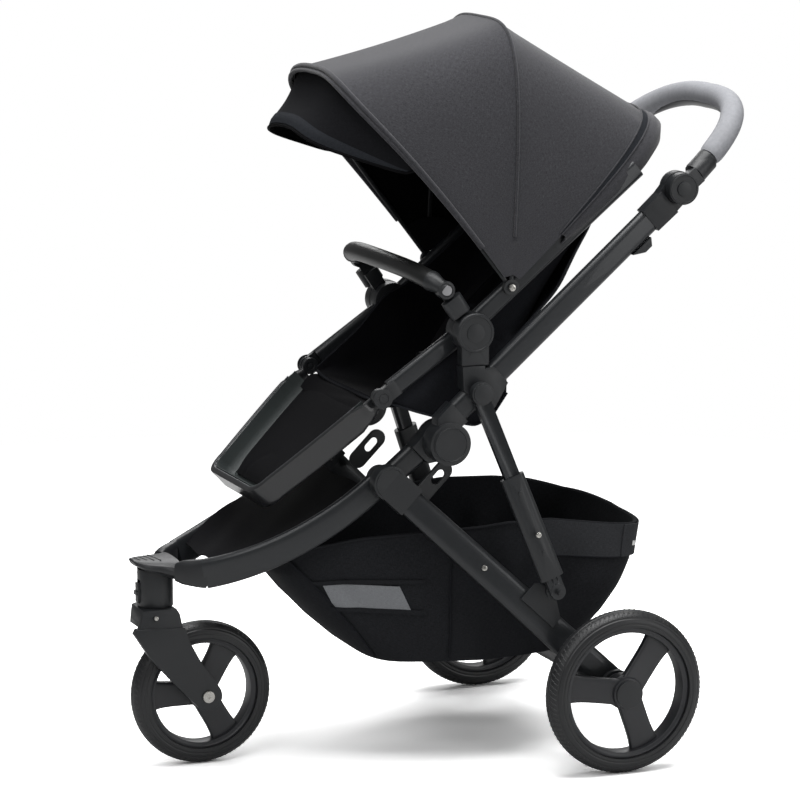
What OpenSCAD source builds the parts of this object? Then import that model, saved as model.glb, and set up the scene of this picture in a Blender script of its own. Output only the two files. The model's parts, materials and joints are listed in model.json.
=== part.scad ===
// Three-wheel baby stroller with an adjustable handlebar, reclining seat, folding canopy and basket.
// Front is -Y, the child's left is +X, up is +Z. Origin: on the floor, at the middle of the footprint.

/* [Wheels] */
// Outer radius of each rear wheel
rear_wheel_r = 125; // [118:0.5:127]
// Width of a rear tyre
rear_tyre_w = 40; // [34:0.5:42]
// Outer radius of the front wheel
front_wheel_r = 110; // [104:0.5:111]
// Width of the front tyre
front_tyre_w = 38; // [32:0.5:40]
// Radial depth of a tyre, from its tread down to the rim
tyre_depth = 24; // [20:0.5:26]
// Radial depth of the rim ring
rim_depth = 15; // [11:0.5:17]
// Thickness of a wheel spoke
spoke_t = 14; // [10:0.5:18]
// Width of a wheel spoke
spoke_w = 42; // [34:0.5:44]
// Radius of a wheel's hub
hub_r = 24; // [22:0.5:27]
// Radius of the wheel axles
axle_r = 6; // [5:0.1:7]
// Distance from the middle of the stroller to the middle of a rear tyre
rear_wheel_x = 287; // [285:0.5:292]
// Rear axle, along the stroller
rear_axle_y = 203; // [200:0.5:206]

/* [Swivel fork] */
// Front axle, along the stroller
front_axle_y = -370; // [-374:0.5:-368]
// Swivel axis, along the stroller
swivel_y = -440; // [-442:0.5:-438]
// Outer radius of the swivel housing
swivel_r = 27; // [25:0.5:29]
// Underside of the swivel housing
swivel_z = 250; // [249:0.5:253]
// Height of the swivel housing
swivel_h = 57; // [54:0.5:60]
// Radius of the swivel stem
stem_r = 9; // [7:0.1:11]
// Thickness of the fork's single arm
fork_t = 14; // [11:0.5:15]
// Gap between the front tyre and the fork arm
fork_gap = 6; // [5:0.5:8]

/* [Chassis] */
// Fold pivot, along the stroller
fold_y = -43; // [-46:0.5:-40]
// Fold pivot, above the floor
fold_z = 503; // [500:0.5:506]
// Radius of the round fold joint
fold_r = 32; // [30:0.5:34]
// Rear leg pivot, along the stroller
leg_y = -125.5; // [-128:0.5:-123]
// Rear leg pivot, above the floor
leg_z = 444; // [441:0.5:447]
// Radius of the cap at the top of a rear leg
leg_cap_r = 26; // [24:0.5:28]
// Thickness of a rear leg
leg_t = 22; // [19:0.5:24]
// Width of a rear leg at its top
leg_w_top = 42; // [38:0.5:44]
// Width of a rear leg at its foot
leg_w_foot = 49; // [45:0.5:52]
// Middle of a rear leg at its pivot, out from the centre
leg_x_top = 159; // [157:0.5:161]
// Middle of a rear leg at the axle, out from the centre
leg_x_foot = 250; // [248:0.5:252]
// Middle of a front rail at the nose, out from the centre
rail_x_front = 25; // [22:0.5:28]
// Middle of a front rail at the rear leg pivot, out from the centre
rail_x_rear = 128; // [126:0.5:129]
// Height of a front rail
rail_h = 44; // [40:0.5:47]
// Thickness of a front rail
rail_t = 18; // [15:0.5:19]
// Width of the straight frame tubes
tube_w = 38; // [34:0.5:40]
// Thickness of the straight frame tubes
tube_t = 20; // [17:0.5:21]
// Radius of the hinge pins
pin_r = 5; // [4:0.1:6]

/* [Struts] */
// Lower strut pivot, along the stroller
strut_lo_y = 113.7; // [112:0.5:116]
// Lower strut pivot, above the floor
strut_lo_z = 275.6; // [273:0.5:278]
// Strut knob, along the stroller
strut_hi_y = 1.6; // [0:0.5:4]
// Strut knob, above the floor
strut_hi_z = 578.8; // [577:0.5:581]
// Width of the strut bar
strut_w = 24; // [20:0.5:26]
// Thickness of the strut bar
strut_t = 10; // [8:0.5:11]
// Radius of the strut knob
strut_knob_r = 17; // [15:0.5:19]

/* [Handle] */
// Angle of the handle tubes above the floor
handle_angle = 41.3; // [41:0.1:41.6]
// Middle of a handle tube, out from the centre
handle_x = 183; // [182:0.5:186]
// How far the handle tubes lie in front of the fold pivot
handle_offset = 22.9; // [21:0.5:25]
// Distance along the handle tube from the fold joint to the handlebar joint
handle_len = 522; // [510:1:526]
// Radius of the handlebar joint
bar_joint_r = 24; // [22:0.5:26]
// Angle of the handlebar above the floor
bar_angle = 38.7; // [37:0.1:40]
// Reach of the handlebar past its joint
bar_reach = 176; // [172:0.5:178]
// Radius of the handlebar tube
bar_tube_r = 13; // [11:0.5:14]
// Thickness of the grip cover around the handlebar tube
grip_t = 4; // [3:0.25:5]

/* [Seat] */
// Seat hub, along the stroller
seat_y = 0.5; // [-1:0.5:2]
// Seat hub, above the floor
seat_z = 666; // [664:0.5:668]
// Radius of the seat hub
seat_hub_r = 30; // [28:0.5:32]
// Length of the seat frame from its hub down to the legrest hinge
seat_front_len = 166; // [162:0.5:169]
// Slope of the seat frame in front of the hub
seat_front_angle = 34.5; // [34:0.1:35]
// Length of the seat frame from its hub up to the top of the backrest
seat_back_len = 360; // [350:1:366]
// Slope of the seat frame behind the hub
seat_back_angle = 39.8; // [39.4:0.1:40.4]
// Middle of a seat frame tube, out from the centre
seat_tube_x = 154; // [153:0.25:154.5]
// Width of a seat frame tube
seat_tube_w = 30; // [26:0.5:32]
// Thickness of a seat frame tube
seat_tube_t = 16; // [13:0.5:16.5]
// Length of the legrest
legrest_len = 240; // [232:1:244]
// Slope of the legrest
legrest_angle = 40.7; // [40:0.1:41.2]
// Middle of a legrest side tube at its front end, out from the centre
legrest_front_x = 104; // [100:1:112]
// Depth of the seat bucket under the frame line
seat_depth = 84; // [78:0.5:86]
// Wall of the seat bucket
seat_wall = 10; // [8:0.5:12]

/* [Canopy] */
// Canopy pivot, distance from the seat hub
canopy_dist = 91; // [89:0.5:93]
// Canopy pivot, direction from the seat hub
canopy_dir = 43; // [42.5:0.1:43.5]
// Radius of the rear bow
canopy_rear_r = 358; // [352:1:361]
// Radius of the middle bow
canopy_mid_r = 389; // [382:1:392]
// Radius of the front bow
canopy_front_r = 402; // [396:1:406]
// Angle of the rear bow
canopy_rear_a = 43; // [43:0.5:45]
// Angle of the middle bow
canopy_mid_a = 87.3; // [85:0.5:89]
// Angle of the front bow
canopy_front_a = 127.6; // [125:0.5:129]
// Thickness of the canopy cloth
canopy_t = 1.6; // [1.2:0.1:2]

/* [Bumper bar] */
// Bumper bar elbow, distance from the seat hub
bumper_dist = 79; // [77:0.5:81]
// Bumper bar elbow, direction from the seat hub
bumper_dir_a = 123.8; // [122:0.2:125.4]
// Middle of the bumper bar's ends, out from the centre
bumper_x = 180; // [178:0.5:182]
// Angle of the bumper bar above the floor
bumper_angle = 30; // [26:0.5:34]
// Reach of the bumper bar past its elbows
bumper_reach = 46; // [42:1:52]
// Radius of the bumper bar with its cover
bumper_r = 15; // [13:0.5:16]

/* [Basket] */
// Height of the basket's rim above the floor
basket_rim_z = 347; // [344:0.5:350]
// Lowest point of the basket
basket_floor_z = 160; // [156:0.5:166]
// Rear end of the basket's rim
basket_rear_y = 284; // [278:0.5:286]
// Half width of the basket at the rear
basket_half_w = 170; // [164:0.5:172]
// Thickness of the basket's cloth
basket_t = 3; // [2:0.25:4]

/* [Fits] */
// Radial clearance of a pin in its bore
run_fit = 0.05; // [0.03:0.01:0.09]
// Gap between faces that turn or slide past each other
face_gap = 0.4; // [0.3:0.05:0.6]

/* [Hidden] */
$fn = 64;

fold = [fold_y, fold_z];
leg_top = [leg_y, leg_z];
strut_lo = [strut_lo_y, strut_lo_z];
strut_hi = [strut_hi_y, strut_hi_z];
seat_hub = [seat_y, seat_z];
rear_axle = [rear_axle_y, rear_wheel_r];
front_axle_at = [front_axle_y, front_wheel_r];

function polar(r, a) = [r * cos(a), r * sin(a)];
function unit(v) = v / norm(v);
function at(x, p) = [x, p[0], p[1]];
function mix(a, b, t) = a + (b - a) * t;

legrest_hinge = seat_hub - polar(seat_front_len, seat_front_angle);
back_top = seat_hub + polar(seat_back_len, seat_back_angle);
legrest_tip = legrest_hinge - polar(legrest_len, legrest_angle);
canopy_pivot = seat_hub + polar(canopy_dist, canopy_dir);
bumper_elbow = seat_hub + polar(bumper_dist, bumper_dir_a);
handle_foot = fold + polar(handle_offset, handle_angle + 90);
function on_handle(s, up = 0) = handle_foot + polar(s, handle_angle) + polar(up, handle_angle + 90);
bar_joint = on_handle(handle_len, 4);

// sideways stack of the fold joint, the rear leg and the strut
housing_in = leg_x_top - leg_t / 2 - face_gap - 9;
housing_out = handle_x - tube_t / 2 - 5;
hub_in = housing_out + face_gap;
hub_out = handle_x + tube_t / 2 + 10;
leg_in = leg_x_top - leg_t / 2;
leg_out = leg_x_top + leg_t / 2;
socket_out = handle_x + tube_t / 2 + 2.6;
strut_in_hi = socket_out + face_gap;
leg_axis = [leg_x_foot - leg_x_top, rear_axle_y - leg_y, rear_wheel_r - leg_z];
leg_len = norm(leg_axis);
leg_slope = atan2(leg_axis[2], leg_axis[1]);
leg_splay = asin(leg_axis[0] / leg_len);
strut_in_lo = leg_x_foot - leg_t / 2 - 3;

module left_right() {
    children();
    mirror([1, 0, 0]) children();
}

module mirrored() mirror([1, 0, 0]) children();

// side-view outline (along, up) given a thickness from x0 to x1
module slab(x0, x1) translate([x0, 0, 0]) rotate([90, 0, 90]) linear_extrude(x1 - x0) children();

// round bar along X
module pin(r, x0, x1, p) translate([x0, p[0], p[1]]) rotate([0, 90, 0]) cylinder(r = r, h = x1 - x0);

// rounded flat section, t thick and w wide
module oval(t, w) {
    square([t, w - t], center = true);
    for (s = [-1, 1]) translate([0, s * (w - t) / 2]) circle(t / 2);
}

// straight bar between two points, whose section's thickness lies across the stroller
module bar(p, q) {
    d = q - p;
    translate(p)
        rotate([atan2(d[2], d[1]), 0, 0])
            rotate([0, 0, -asin(d[0] / norm(d))])
                rotate([-90, 0, 0])
                    linear_extrude(norm(d)) children();
}

// frame at the top of a rear leg: local +Y runs down the leg, local X is its thickness
module leg_frame()
    translate(at(leg_x_top, leg_top)) rotate([leg_slope, 0, 0]) rotate([0, 0, -leg_splay]) children();

// smooth bar swept along points; width and thickness are lists, power squares the section off
module sweep(path, widths, thicks, ref = [1, 0, 0], sides = 20, power = 1) {
    n = len(path);
    function tangent(i) = unit(path[min(i + 1, n - 1)] - path[max(i - 1, 0)]);
    function bend(v) = sign(v) * pow(abs(v), power);
    function ring(i) =
        let (t = tangent(i), s = unit(ref - (ref * t) * t), u = cross(t, s))
        [for (j = [0:sides - 1])
            path[i] + s * bend(cos(360 * j / sides)) * thicks[i] / 2
                + u * bend(sin(360 * j / sides)) * widths[i] / 2];
    points = [for (i = [0:n - 1]) each ring(i)];
    walls = [for (i = [0:n - 2]) for (j = [0:sides - 1])
        let (k = (j + 1) % sides)
        [i * sides + j, (i + 1) * sides + j, (i + 1) * sides + k, i * sides + k]];
    ends = [[for (j = [0:sides - 1]) j], [for (j = [0:sides - 1]) n * sides - 1 - j]];
    polyhedron(points, concat(walls, ends), convexity = 4);
}

function steps(n) = [for (i = [0:n]) i / n];
function bezier(a, b, c, d, t) =
    a * pow(1 - t, 3) + 3 * b * t * pow(1 - t, 2) + 3 * c * t * t * (1 - t) + d * pow(t, 3);
function spread(n, v) = [for (i = [0:n]) v];

// ---- front frame ----
function rail_x(y) = let (u = max(0, min(1, (y - swivel_y) / (leg_y - swivel_y))))
    mix(rail_x_rear, rail_x_front, pow(1 - u, 3));
rail_nose = [swivel_y + 56, 308];
rail_join = [leg_y - 8, leg_z - 9];
function rail_point(t) =
    let (p = bezier(rail_nose, rail_nose + [78, 20], rail_join - [62, 54], rail_join,
        t)) [rail_x(p[0]), p[0], p[1]];

module rail() {
    points = [for (t = steps(16)) rail_point(t)];
    path = concat([points[0] - unit(points[1] - points[0]) * 14], points);
    color("#26272a") difference() {
        sweep(path, concat([rail_h + 2], [for (t = steps(16)) mix(rail_h + 2, rail_h - 3, t)]),
            spread(17, rail_t), power = 0.6);
        translate([-10, rail_nose[0] - 60, 200]) cube([200, 60, 200]);
    }
}
module rail_left() rail();
module rail_right() mirrored() rail();

// foot-shaped nose: a rounded core that splits into two prongs which the rails continue
module nose_block() {
    nose_top = swivel_z + swivel_h + 17;
    core = [[-37, 3, 24], [-33, 9, 42], [-20, 16, 64], [0, 22, 80], [16, 28, 98], [25, 32, 110]];
    prong = [for (t = steps(6)) mix(swivel_y + 20, rail_nose[0] + 12, t)];
    color("#2c2d30") {
        sweep([for (s = core) [0, swivel_y + s[0], nose_top - 1 - s[1] / 2 + max(0, s[0] - 20) / 8]],
              [for (s = core) s[1]], [for (s = core) s[2]], power = 0.7);
        left_right() difference() {
            sweep([for (y = prong) [rail_x(y), y, rail_nose[1] + max(0, y - rail_nose[0]) / 4]],
                [for (t = steps(6)) mix(28, rail_h + 2, min(1, sqrt(1.2 * t)))], spread(6, rail_t),
                power = 0.6);
            translate([-10, rail_nose[0], 200]) cube([200, 60, 200]);
        }
    }
}

module swivel_housing() {
    color("#2c2d30") difference() {
        translate([0, swivel_y, swivel_z]) cylinder(r = swivel_r, h = swivel_h);
        translate([0, swivel_y, swivel_z - 1]) cylinder(r = stem_r + run_fit, h = swivel_h - 4);
        lock_window();
    }
}
lock_w = 14;
lock_z = swivel_z + 6;
lock_h = 30;
module lock_window()
    translate([-lock_w / 2 - face_gap, swivel_y - swivel_r - 1, lock_z - face_gap])
        cube([lock_w + 2 * face_gap, 9, lock_h + 5 + 2 * face_gap]);
module swivel_lock() {
    color("#1d1e20") {
        translate([-lock_w / 2, swivel_y - swivel_r - 2.5, lock_z]) cube([lock_w, 10, lock_h]);
        translate([-lock_w / 2, swivel_y - swivel_r - 5, lock_z + lock_h / 2 - 3]) cube([lock_w, 3, 6]);
    }
}

// straight tube from the rear leg pivot up to the fold joint, with the leg's pivot boss
upper_start = leg_top + [3, -6];
upper_end = fold + [-20, -9];
upper_x = rail_x_rear + 1;
boss_out = leg_in - face_gap;
module upper_tube() {
    color("#26272a") difference() {
        union() {
            bar(at(upper_x, upper_start), at(upper_x + 15, upper_end)) oval(tube_t, tube_w);
            pin(tube_w / 2 + 1, upper_x - tube_t / 2 - 1, boss_out, leg_top);
        }
        pin(pin_r + run_fit, upper_x - tube_t, boss_out + 1, leg_top);
    }
}
module upper_tubes() left_right() upper_tube();

module fold_housing() {
    arm = [[-47, -7], [-22, -33], [0, -fold_r + 2], [0, 14], [-5, 14], [-25, 14]];
    color("#34363a") difference() {
        union() {
            pin(fold_r - 2, housing_in, housing_out, fold);
            slab(housing_in, housing_out) translate(fold) polygon(arm);
        }
        pin(pin_r + run_fit, housing_in - 1, housing_out + 1, fold);
        bar(at(upper_x, upper_start), at(upper_x + 15, upper_end)) oval(tube_t, tube_w);
    }
}
module fold_housings() left_right() fold_housing();

cross_t = 0.56;
module front_cross_tube() {
    p = rail_point(cross_t);
    color("#26272a") pin(9, -p[0], p[0], [p[1], p[2]]);
}

// ---- swivelling front wheel ----
fork_in = front_tyre_w / 2 + fork_gap;
fork_out = fork_in + fork_t;
fork_top = swivel_z - 0.6;
fork_end_r = 22;
module fork_arm() {
    crown_z = front_wheel_r * 2 + 4;
    blade = [[swivel_y - 41, crown_z - 2], [swivel_y - 45, crown_z - 9], [swivel_y - 18, 173],
        [front_axle_y - 54, 135], front_axle_at + polar(fork_end_r, 222),
            front_axle_at + polar(fork_end_r, 35),
        [front_axle_y - 9, 161], [front_axle_y - 29, 198], [front_axle_y - 36, crown_z - 4]];
    crown = [[swivel_y - 30, fork_top], [swivel_y + 22, fork_top], [swivel_y + 27, fork_top - 8],
        [front_axle_y - 38, crown_z - 6], [swivel_y - 38, crown_z - 6]];
    color("#303236") difference() {
        union() {
            slab(fork_in, fork_out) {
                polygon(blade);
                translate(front_axle_at) circle(fork_end_r);
            }
            intersection() {
                slab(-swivel_r - 2, fork_out - 6) polygon(crown);
                translate([4, swivel_y, crown_z]) cylinder(r = swivel_r + 13, h = 60);
            }
            slab(fork_in, fork_out - 3) polygon(crown);
        }
        translate([0, swivel_y, crown_z - 8]) cylinder(r = stem_r, h = 60);
        pin(axle_r, fork_in - 1, fork_out + 1, front_axle_at);
    }
}
stem_z = front_wheel_r * 2 + 4;
module fork_stem()
    color("#8c8f94") translate([0, swivel_y, stem_z]) cylinder(r = stem_r,
        h = swivel_z + swivel_h - 12 - stem_z);
module front_axle() {
    color("#b9b2a4") {
        pin(axle_r, -fork_in, fork_out, front_axle_at);
        difference() {
            pin(axle_r + 3, fork_out, fork_out + 3, front_axle_at);
            pin(2.2, fork_out + 1.2, fork_out + 4, front_axle_at);
        }
        pin(axle_r + 5, -fork_in - 3, -fork_in, front_axle_at);
    }
}

module wheel_ring(x, c) translate(at(x, c)) rotate([0, 90, 0]) rotate_extrude($fn = 96) children();
module tyre(x, c, r, w) {
    color("#161616") wheel_ring(x, c) intersection() {
        translate([r - w / 2, 0]) circle(w / 2);
        translate([r - tyre_depth, -w]) square([tyre_depth + 1, 2 * w]);
    }
}
// three flat spokes between hub and rim; the first points along spoke_a
module rim(x, c, r, w, hub_w, spoke_a) {
    out_r = r - tyre_depth;
    in_r = out_r - rim_depth;
    color("#2a2b2e") difference() {
        union() {
            wheel_ring(x, c) translate([in_r, -w / 2]) square([rim_depth, w]);
            pin(hub_r, x - hub_w / 2, x + hub_w / 2, c);
            translate(at(x, c)) for (k = [0:2]) rotate([spoke_a + 120 * k, 0, 0])
                translate([-spoke_t / 2, hub_r - 8, -spoke_w / 2]) cube([spoke_t,
                    in_r - hub_r + 10, spoke_w]);
        }
        pin(axle_r + run_fit, x - hub_w, x + hub_w, c);
    }
}
front_hub_w = 2 * (fork_in - face_gap);
module front_tyre() tyre(0, front_axle_at, front_wheel_r, front_tyre_w);
module front_rim() rim(0, front_axle_at, front_wheel_r, front_tyre_w - 10, front_hub_w, 60);

// ---- rear legs, axle and wheels ----
leg_cap_len = 46;
pin_in = upper_x - tube_t / 2 + 2;
module leg_cap() {
    color("#34363a") {
        pin(leg_cap_r, leg_in, leg_out, leg_top);
        leg_frame() translate([-leg_t / 2, 0, -leg_cap_r + 2]) cube([leg_t, leg_cap_len,
            2 * leg_cap_r - 4]);
        pin(pin_r, pin_in, leg_in, leg_top);
    }
}
module leg_caps() left_right() leg_cap();

foot_r = 26;
leg_foot_s = leg_len - foot_r - 1;
module leg() {
    color("#232427") difference() {
        leg_frame() sweep([[0, leg_cap_len, 0], [0, leg_foot_s + 14, 0]], [leg_w_top, leg_w_foot],
            [leg_t, leg_t], sides = 28, power = 0.75);
        pin(foot_r + 0.02, leg_x_foot - leg_t, leg_x_foot + leg_t, rear_axle);
    }
}
module leg_left() leg();
module leg_right() mirrored() leg();

foot_in = leg_x_foot - leg_t / 2 - 2;
foot_out = leg_x_foot + leg_t / 2 + 3;
hub_w_rear = 2 * (rear_wheel_x - foot_out - 1.5);
module leg_foot() {
    color("#2c2d30") pin(foot_r, foot_in, foot_out, rear_axle);
    color("#9a9ca0") pin(axle_r, foot_out, rear_wheel_x + hub_w_rear / 2, rear_axle);
}
// plate on the leg's outer face that carries the lower end of the strut
bracket_r = 15;
strut_pin_r = pin_r - 1;
module strut_bracket() {
    along = strut_lo - leg_top;
    s = along[0] * cos(leg_slope) + along[1] * sin(leg_slope);
    up = -along[0] * sin(leg_slope) + along[1] * cos(leg_slope);
    color("#2c2d30") {
        pin(bracket_r, strut_in_lo - 16, strut_in_lo - face_gap, strut_lo);
        leg_frame() translate([0, s, 0]) slab(leg_t / 2 + 0.02, leg_t / 2 + 4)
            polygon([[-22, 2], [-22, up - 12], [-9, up - 3], [12, up - 3], [44, 20], [44, 2]]);
    }
    color("#b9b2a4") pin(strut_pin_r, strut_in_lo - face_gap, strut_in_lo + strut_t + 10, strut_lo);
}
module leg_feet() left_right() leg_foot();
module strut_brackets() left_right() strut_bracket();

// slotted plate on the inner side of each rear leg that catches the fold lock
latch_t = 4;
latch_out = leg_in - 6.4;
latch_len = 86;
latch_angle = 40;
module latch_plates() {
    foot = leg_top + [-8, -56];
    tip = foot + polar(latch_len, latch_angle);
    color("#1d1e20") left_right() {
        slab(latch_out - latch_t, latch_out) difference() {
            union() {
                for (p = [foot, tip]) translate(p) circle(11);
                translate(foot) rotate(latch_angle) translate([0, -11]) square([latch_len, 22]);
            }
            translate(tip) rotate(latch_angle) translate([-14, -5]) square([14, 10]);
            for (d = [0, 14]) translate(tip - polar(d, latch_angle)) circle(5);
        }
        pin(8, latch_out, leg_in + 9, leg_top + polar(38, leg_slope));
    }
}

beam_t = 24;
beam_w = 30;

// brake pedal on a pin between two lugs of the axle beam
pedal_x = 60;
pedal_pin_r = 4;
pedal_at = rear_axle + [-3, 24];
module rear_axle_beam() {
    color("#26272a") {
        bar(at(-foot_in, rear_axle), at(foot_in, rear_axle)) oval(beam_t, beam_w);
        left_right() slab(pedal_x + face_gap, pedal_x + 9) {
            translate(pedal_at) circle(9);
            translate(pedal_at - [9, 20]) square([18, 20]);
        }
        pin(pedal_pin_r, -pedal_x - 5, pedal_x + 5, pedal_at);
    }
}
module brake_pedal()
    color("#2c2d30") difference() {
        union() {
            pin(9, -pedal_x, pedal_x, pedal_at);
            slab(8 - pedal_x, pedal_x - 8) translate(pedal_at) polygon([[0, 9], [46, 22], [50, 16],
                [8, -3]]);
        }
        pin(pedal_pin_r + run_fit, -pedal_x - 1, pedal_x + 1, pedal_at);
    }

spoke_angle = 57;
module rear_tyre_left() tyre(rear_wheel_x, rear_axle, rear_wheel_r, rear_tyre_w);
module rear_tyre_right() mirrored() rear_tyre_left();
module rear_rim_left() rim(rear_wheel_x, rear_axle, rear_wheel_r, rear_tyre_w - 10, hub_w_rear,
    spoke_angle);
module rear_rim_right() mirrored() rear_rim_left();
module hub_cap_left()
    color("#34363a") pin(hub_r - 3, rear_wheel_x + hub_w_rear / 2,
        rear_wheel_x + hub_w_rear / 2 + 3, rear_axle);
module hub_cap_right() mirrored() hub_cap_left();

// ---- struts ----
strut_bottom = at(strut_in_lo + strut_t / 2, strut_lo);
strut_top = at(strut_in_hi + strut_t / 2, strut_hi);
cover_t = 18;
module strut() {
    color("#2b2c2f") difference() {
        union() {
            pin(strut_w / 2, strut_in_hi, strut_in_hi + strut_t, strut_hi);
            pin(strut_w / 2, strut_in_lo, strut_in_lo + strut_t, strut_lo);
            bar(strut_top, strut_bottom) square([strut_t, strut_w], center = true);
        }
        pin(bracket_r + 1.5, strut_in_lo - strut_t, strut_in_lo, strut_lo);
        pin(strut_pin_r + run_fit, strut_in_lo - 9, strut_in_lo + strut_t + 9, strut_lo);
    }
}
module strut_left() strut();
module strut_right() mirrored() strut();

// plastic cover around the lower strut
module strut_cover() {
    color("#34363a") difference() {
        bar(mix(strut_top, strut_bottom, 0.42), mix(strut_top, strut_bottom, 0.93)) oval(cover_t, 38);
        bar(strut_top, strut_bottom) square([strut_t, strut_w], center = true);
        pin(16, strut_in_lo - 9, strut_in_lo + strut_t + 9, strut_lo);
    }
    color("#b9b2a4") for (f = [0.5, 0.8])
        let (c = mix(strut_top, strut_bottom, f)) pin(3, c[0] + cover_t / 2 - 1,
            c[0] + cover_t / 2 + 1.5, [c[1], c[2]]);
}
module strut_covers() left_right() strut_cover();

module strut_knobs()
    color("#3a3c40") left_right() {
        pin(strut_knob_r, strut_in_hi + strut_t, strut_in_hi + strut_t + 13, strut_hi);
        pin(strut_knob_r - 2.5, strut_in_hi + strut_t + 13, strut_in_hi + strut_t + 14.5, strut_hi);
    }

// ---- handle ----
tube_start = 22;
tube_end = handle_len - bar_joint_r - 3;
module handle_tube() bar(at(handle_x, on_handle(tube_start)), at(handle_x, on_handle(tube_end)))
    oval(tube_t, tube_w);
module handle_tubes() color("#232427") left_right() handle_tube();

module fold_hub() {
    arm = [[-17, 8], [-17, 39], on_handle(44, 19) - fold, on_handle(44, -19) - fold, [20, 24]];
    color("#3a3c40") difference() {
        union() {
            pin(fold_r, hub_in, hub_out, fold);
            pin(fold_r - 5, hub_out, hub_out + 1.5, fold);
            slab(hub_in, hub_out - 8) translate(fold) polygon(arm);
            pin(pin_r, housing_in + 2, hub_in, fold);
        }
        handle_tube();
    }
}
module fold_hubs() left_right() fold_hub();

post_w = 44;
post_foot_z = on_handle(86)[1] + 40;
socket_in = handle_x - tube_t / 2 - 3;
post_out = handle_x + tube_t / 2;
// collar on the handle tube with the socket for the seat post
module seat_socket() {
    block = [on_handle(71, 20.5), on_handle(71, -20.5), on_handle(88, -34), on_handle(128, -20.5),
        on_handle(128, 12), on_handle(118, 20.5)];
    tower = [[seat_y - post_w / 2, post_foot_z], [seat_y - post_w / 2 + 2, post_foot_z - 36],
        on_handle(74, 0), on_handle(100, 0),
        [seat_y + post_w / 2 - 8, post_foot_z]];
    color("#303236") difference() {
        slab(socket_in, socket_out) {
            polygon(block);
            polygon(tower);
        }
        handle_tube();
    }
}
module seat_sockets() left_right() seat_socket();

seat_in = seat_tube_x + seat_tube_t / 2;
post_in = seat_in + 9.5;
hub_pin_r = pin_r + 3;
button_r = 14;
button_travel = 3;
module seat_posts() {
    color("#34363a") left_right() difference() {
        union() {
            pin(seat_hub_r, post_in, post_out, seat_hub);
            translate([post_in, seat_y - post_w / 2, post_foot_z]) cube([post_out - post_in,
                post_w, seat_z - post_foot_z]);
        }
        pin(button_r + face_gap, post_out - 7, post_out + 1, seat_hub);
        pin(hub_pin_r + run_fit, post_in - 1, post_out + 1, seat_hub);
    }
}
module seat_button() color("#3a3c40") pin(button_r, post_out - 4 + face_gap, post_out + 1, seat_hub);
module seat_button_left() seat_button();
module seat_button_right() mirrored() seat_button();

housing_bar_out = handle_x + 6;
module bar_housings() {
    color("#303236") left_right() difference() {
        union() {
            pin(bar_joint_r + 1, handle_x - 11, housing_bar_out, bar_joint);
            slab(handle_x - 11, handle_x + 11)
                polygon([on_handle(handle_len - 68, 20), on_handle(handle_len - 68, -20),
                    on_handle(handle_len - 26, -21),
                    on_handle(handle_len - 26, 21)]);
            slab(handle_x - 11, housing_bar_out)
                polygon([on_handle(handle_len - 30, -21), on_handle(handle_len - 12, -20),
                    on_handle(handle_len - 12, 24),
                    on_handle(handle_len - 30, 21)]);
        }
        handle_tube();
        pin(pin_r + run_fit, handle_x - 12, housing_bar_out + 1, bar_joint);
    }
}

bar_dir = [0, cos(bar_angle), sin(bar_angle)];
bar_normal = [0, -sin(bar_angle), cos(bar_angle)];
joint_in = housing_bar_out + face_gap;
joint_out = handle_x + 24;
bar_end_x = handle_x + 8;
neck_x = mix(joint_in, joint_out, 0.5);
sleeve_from = bar_joint_r + 7;
function on_bar(s, x) = at(0, bar_joint) + bar_dir * s + [x, 0, 0];
// half of the handlebar's curve, from the joint to the middle
function bar_half(t) = on_bar(
    bezier(0, bar_reach * 0.62, bar_reach, bar_reach, t) + 4 * t * (1 - t) * 4,
    bezier(bar_end_x, bar_end_x - 4, bar_end_x * 0.72, 0, t));
function bar_path(from) =
    let (half = [for (t = steps(20)) if (t > from) bar_half(t)])
    concat(half, [for (i = [len(half) - 2:-1:0]) [-half[i][0], half[i][1], half[i][2]]]);
module handlebar_tube() {
    path = bar_path(0.14);
    color("#232427") sweep(path, [for (p = path) 2 * bar_tube_r], [for (p = path) 2 * bar_tube_r],
        ref = bar_normal);
}
module grip_cover() {
    path = bar_path(0.21);
    outer = spread(len(path) - 1, 2 * (bar_tube_r + grip_t));
    inner = spread(len(path) - 1, 2 * bar_tube_r);
    color("#5a5b5d") difference() {
        sweep(path, outer, outer, ref = bar_normal);
        sweep(extend(path, 3), inner, inner, ref = bar_normal);
    }
}
function extend(path, d) = let (n = len(path))
    [for (i = [0:n - 1]) i == 0 ? path[0] - unit(path[1] - path[0]) * d
        : i == n - 1 ? path[i] + unit(path[i] - path[i - 1]) * d : path[i]];

module handlebar_joints() {
    color("#34363a") left_right() difference() {
        union() {
            pin(bar_joint_r, joint_in, joint_out, bar_joint);
            bar(on_bar(sleeve_from, bar_end_x), bar_half(0.2)) circle(bar_tube_r + grip_t);
            bar(on_bar(4, neck_x), on_bar(sleeve_from + 3, neck_x))
                square([joint_out - joint_in - 2, 2 * bar_tube_r], center = true);
            pin(pin_r, handle_x - 9, joint_in, bar_joint);
        }
        pin(11 + face_gap, joint_out - 6, joint_out + 1, bar_joint);
    }
}
module bar_button()
    color("#3a3c40") pin(11, joint_out - 2.5, joint_out + 2, bar_joint);
module bar_button_left() bar_button();
module bar_button_right() mirrored() bar_button();

trigger_s = handle_len - 96;
module fold_trigger()
    color("#1d1e20") slab(handle_x - 9, handle_x + 9)
        polygon([on_handle(trigger_s - 26, -19.6), on_handle(trigger_s - 8, -31),
            on_handle(trigger_s + 6, -31), on_handle(trigger_s + 14, -19.6)]);
module fold_trigger_left() fold_trigger();
module fold_trigger_right() mirrored() fold_trigger();

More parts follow.
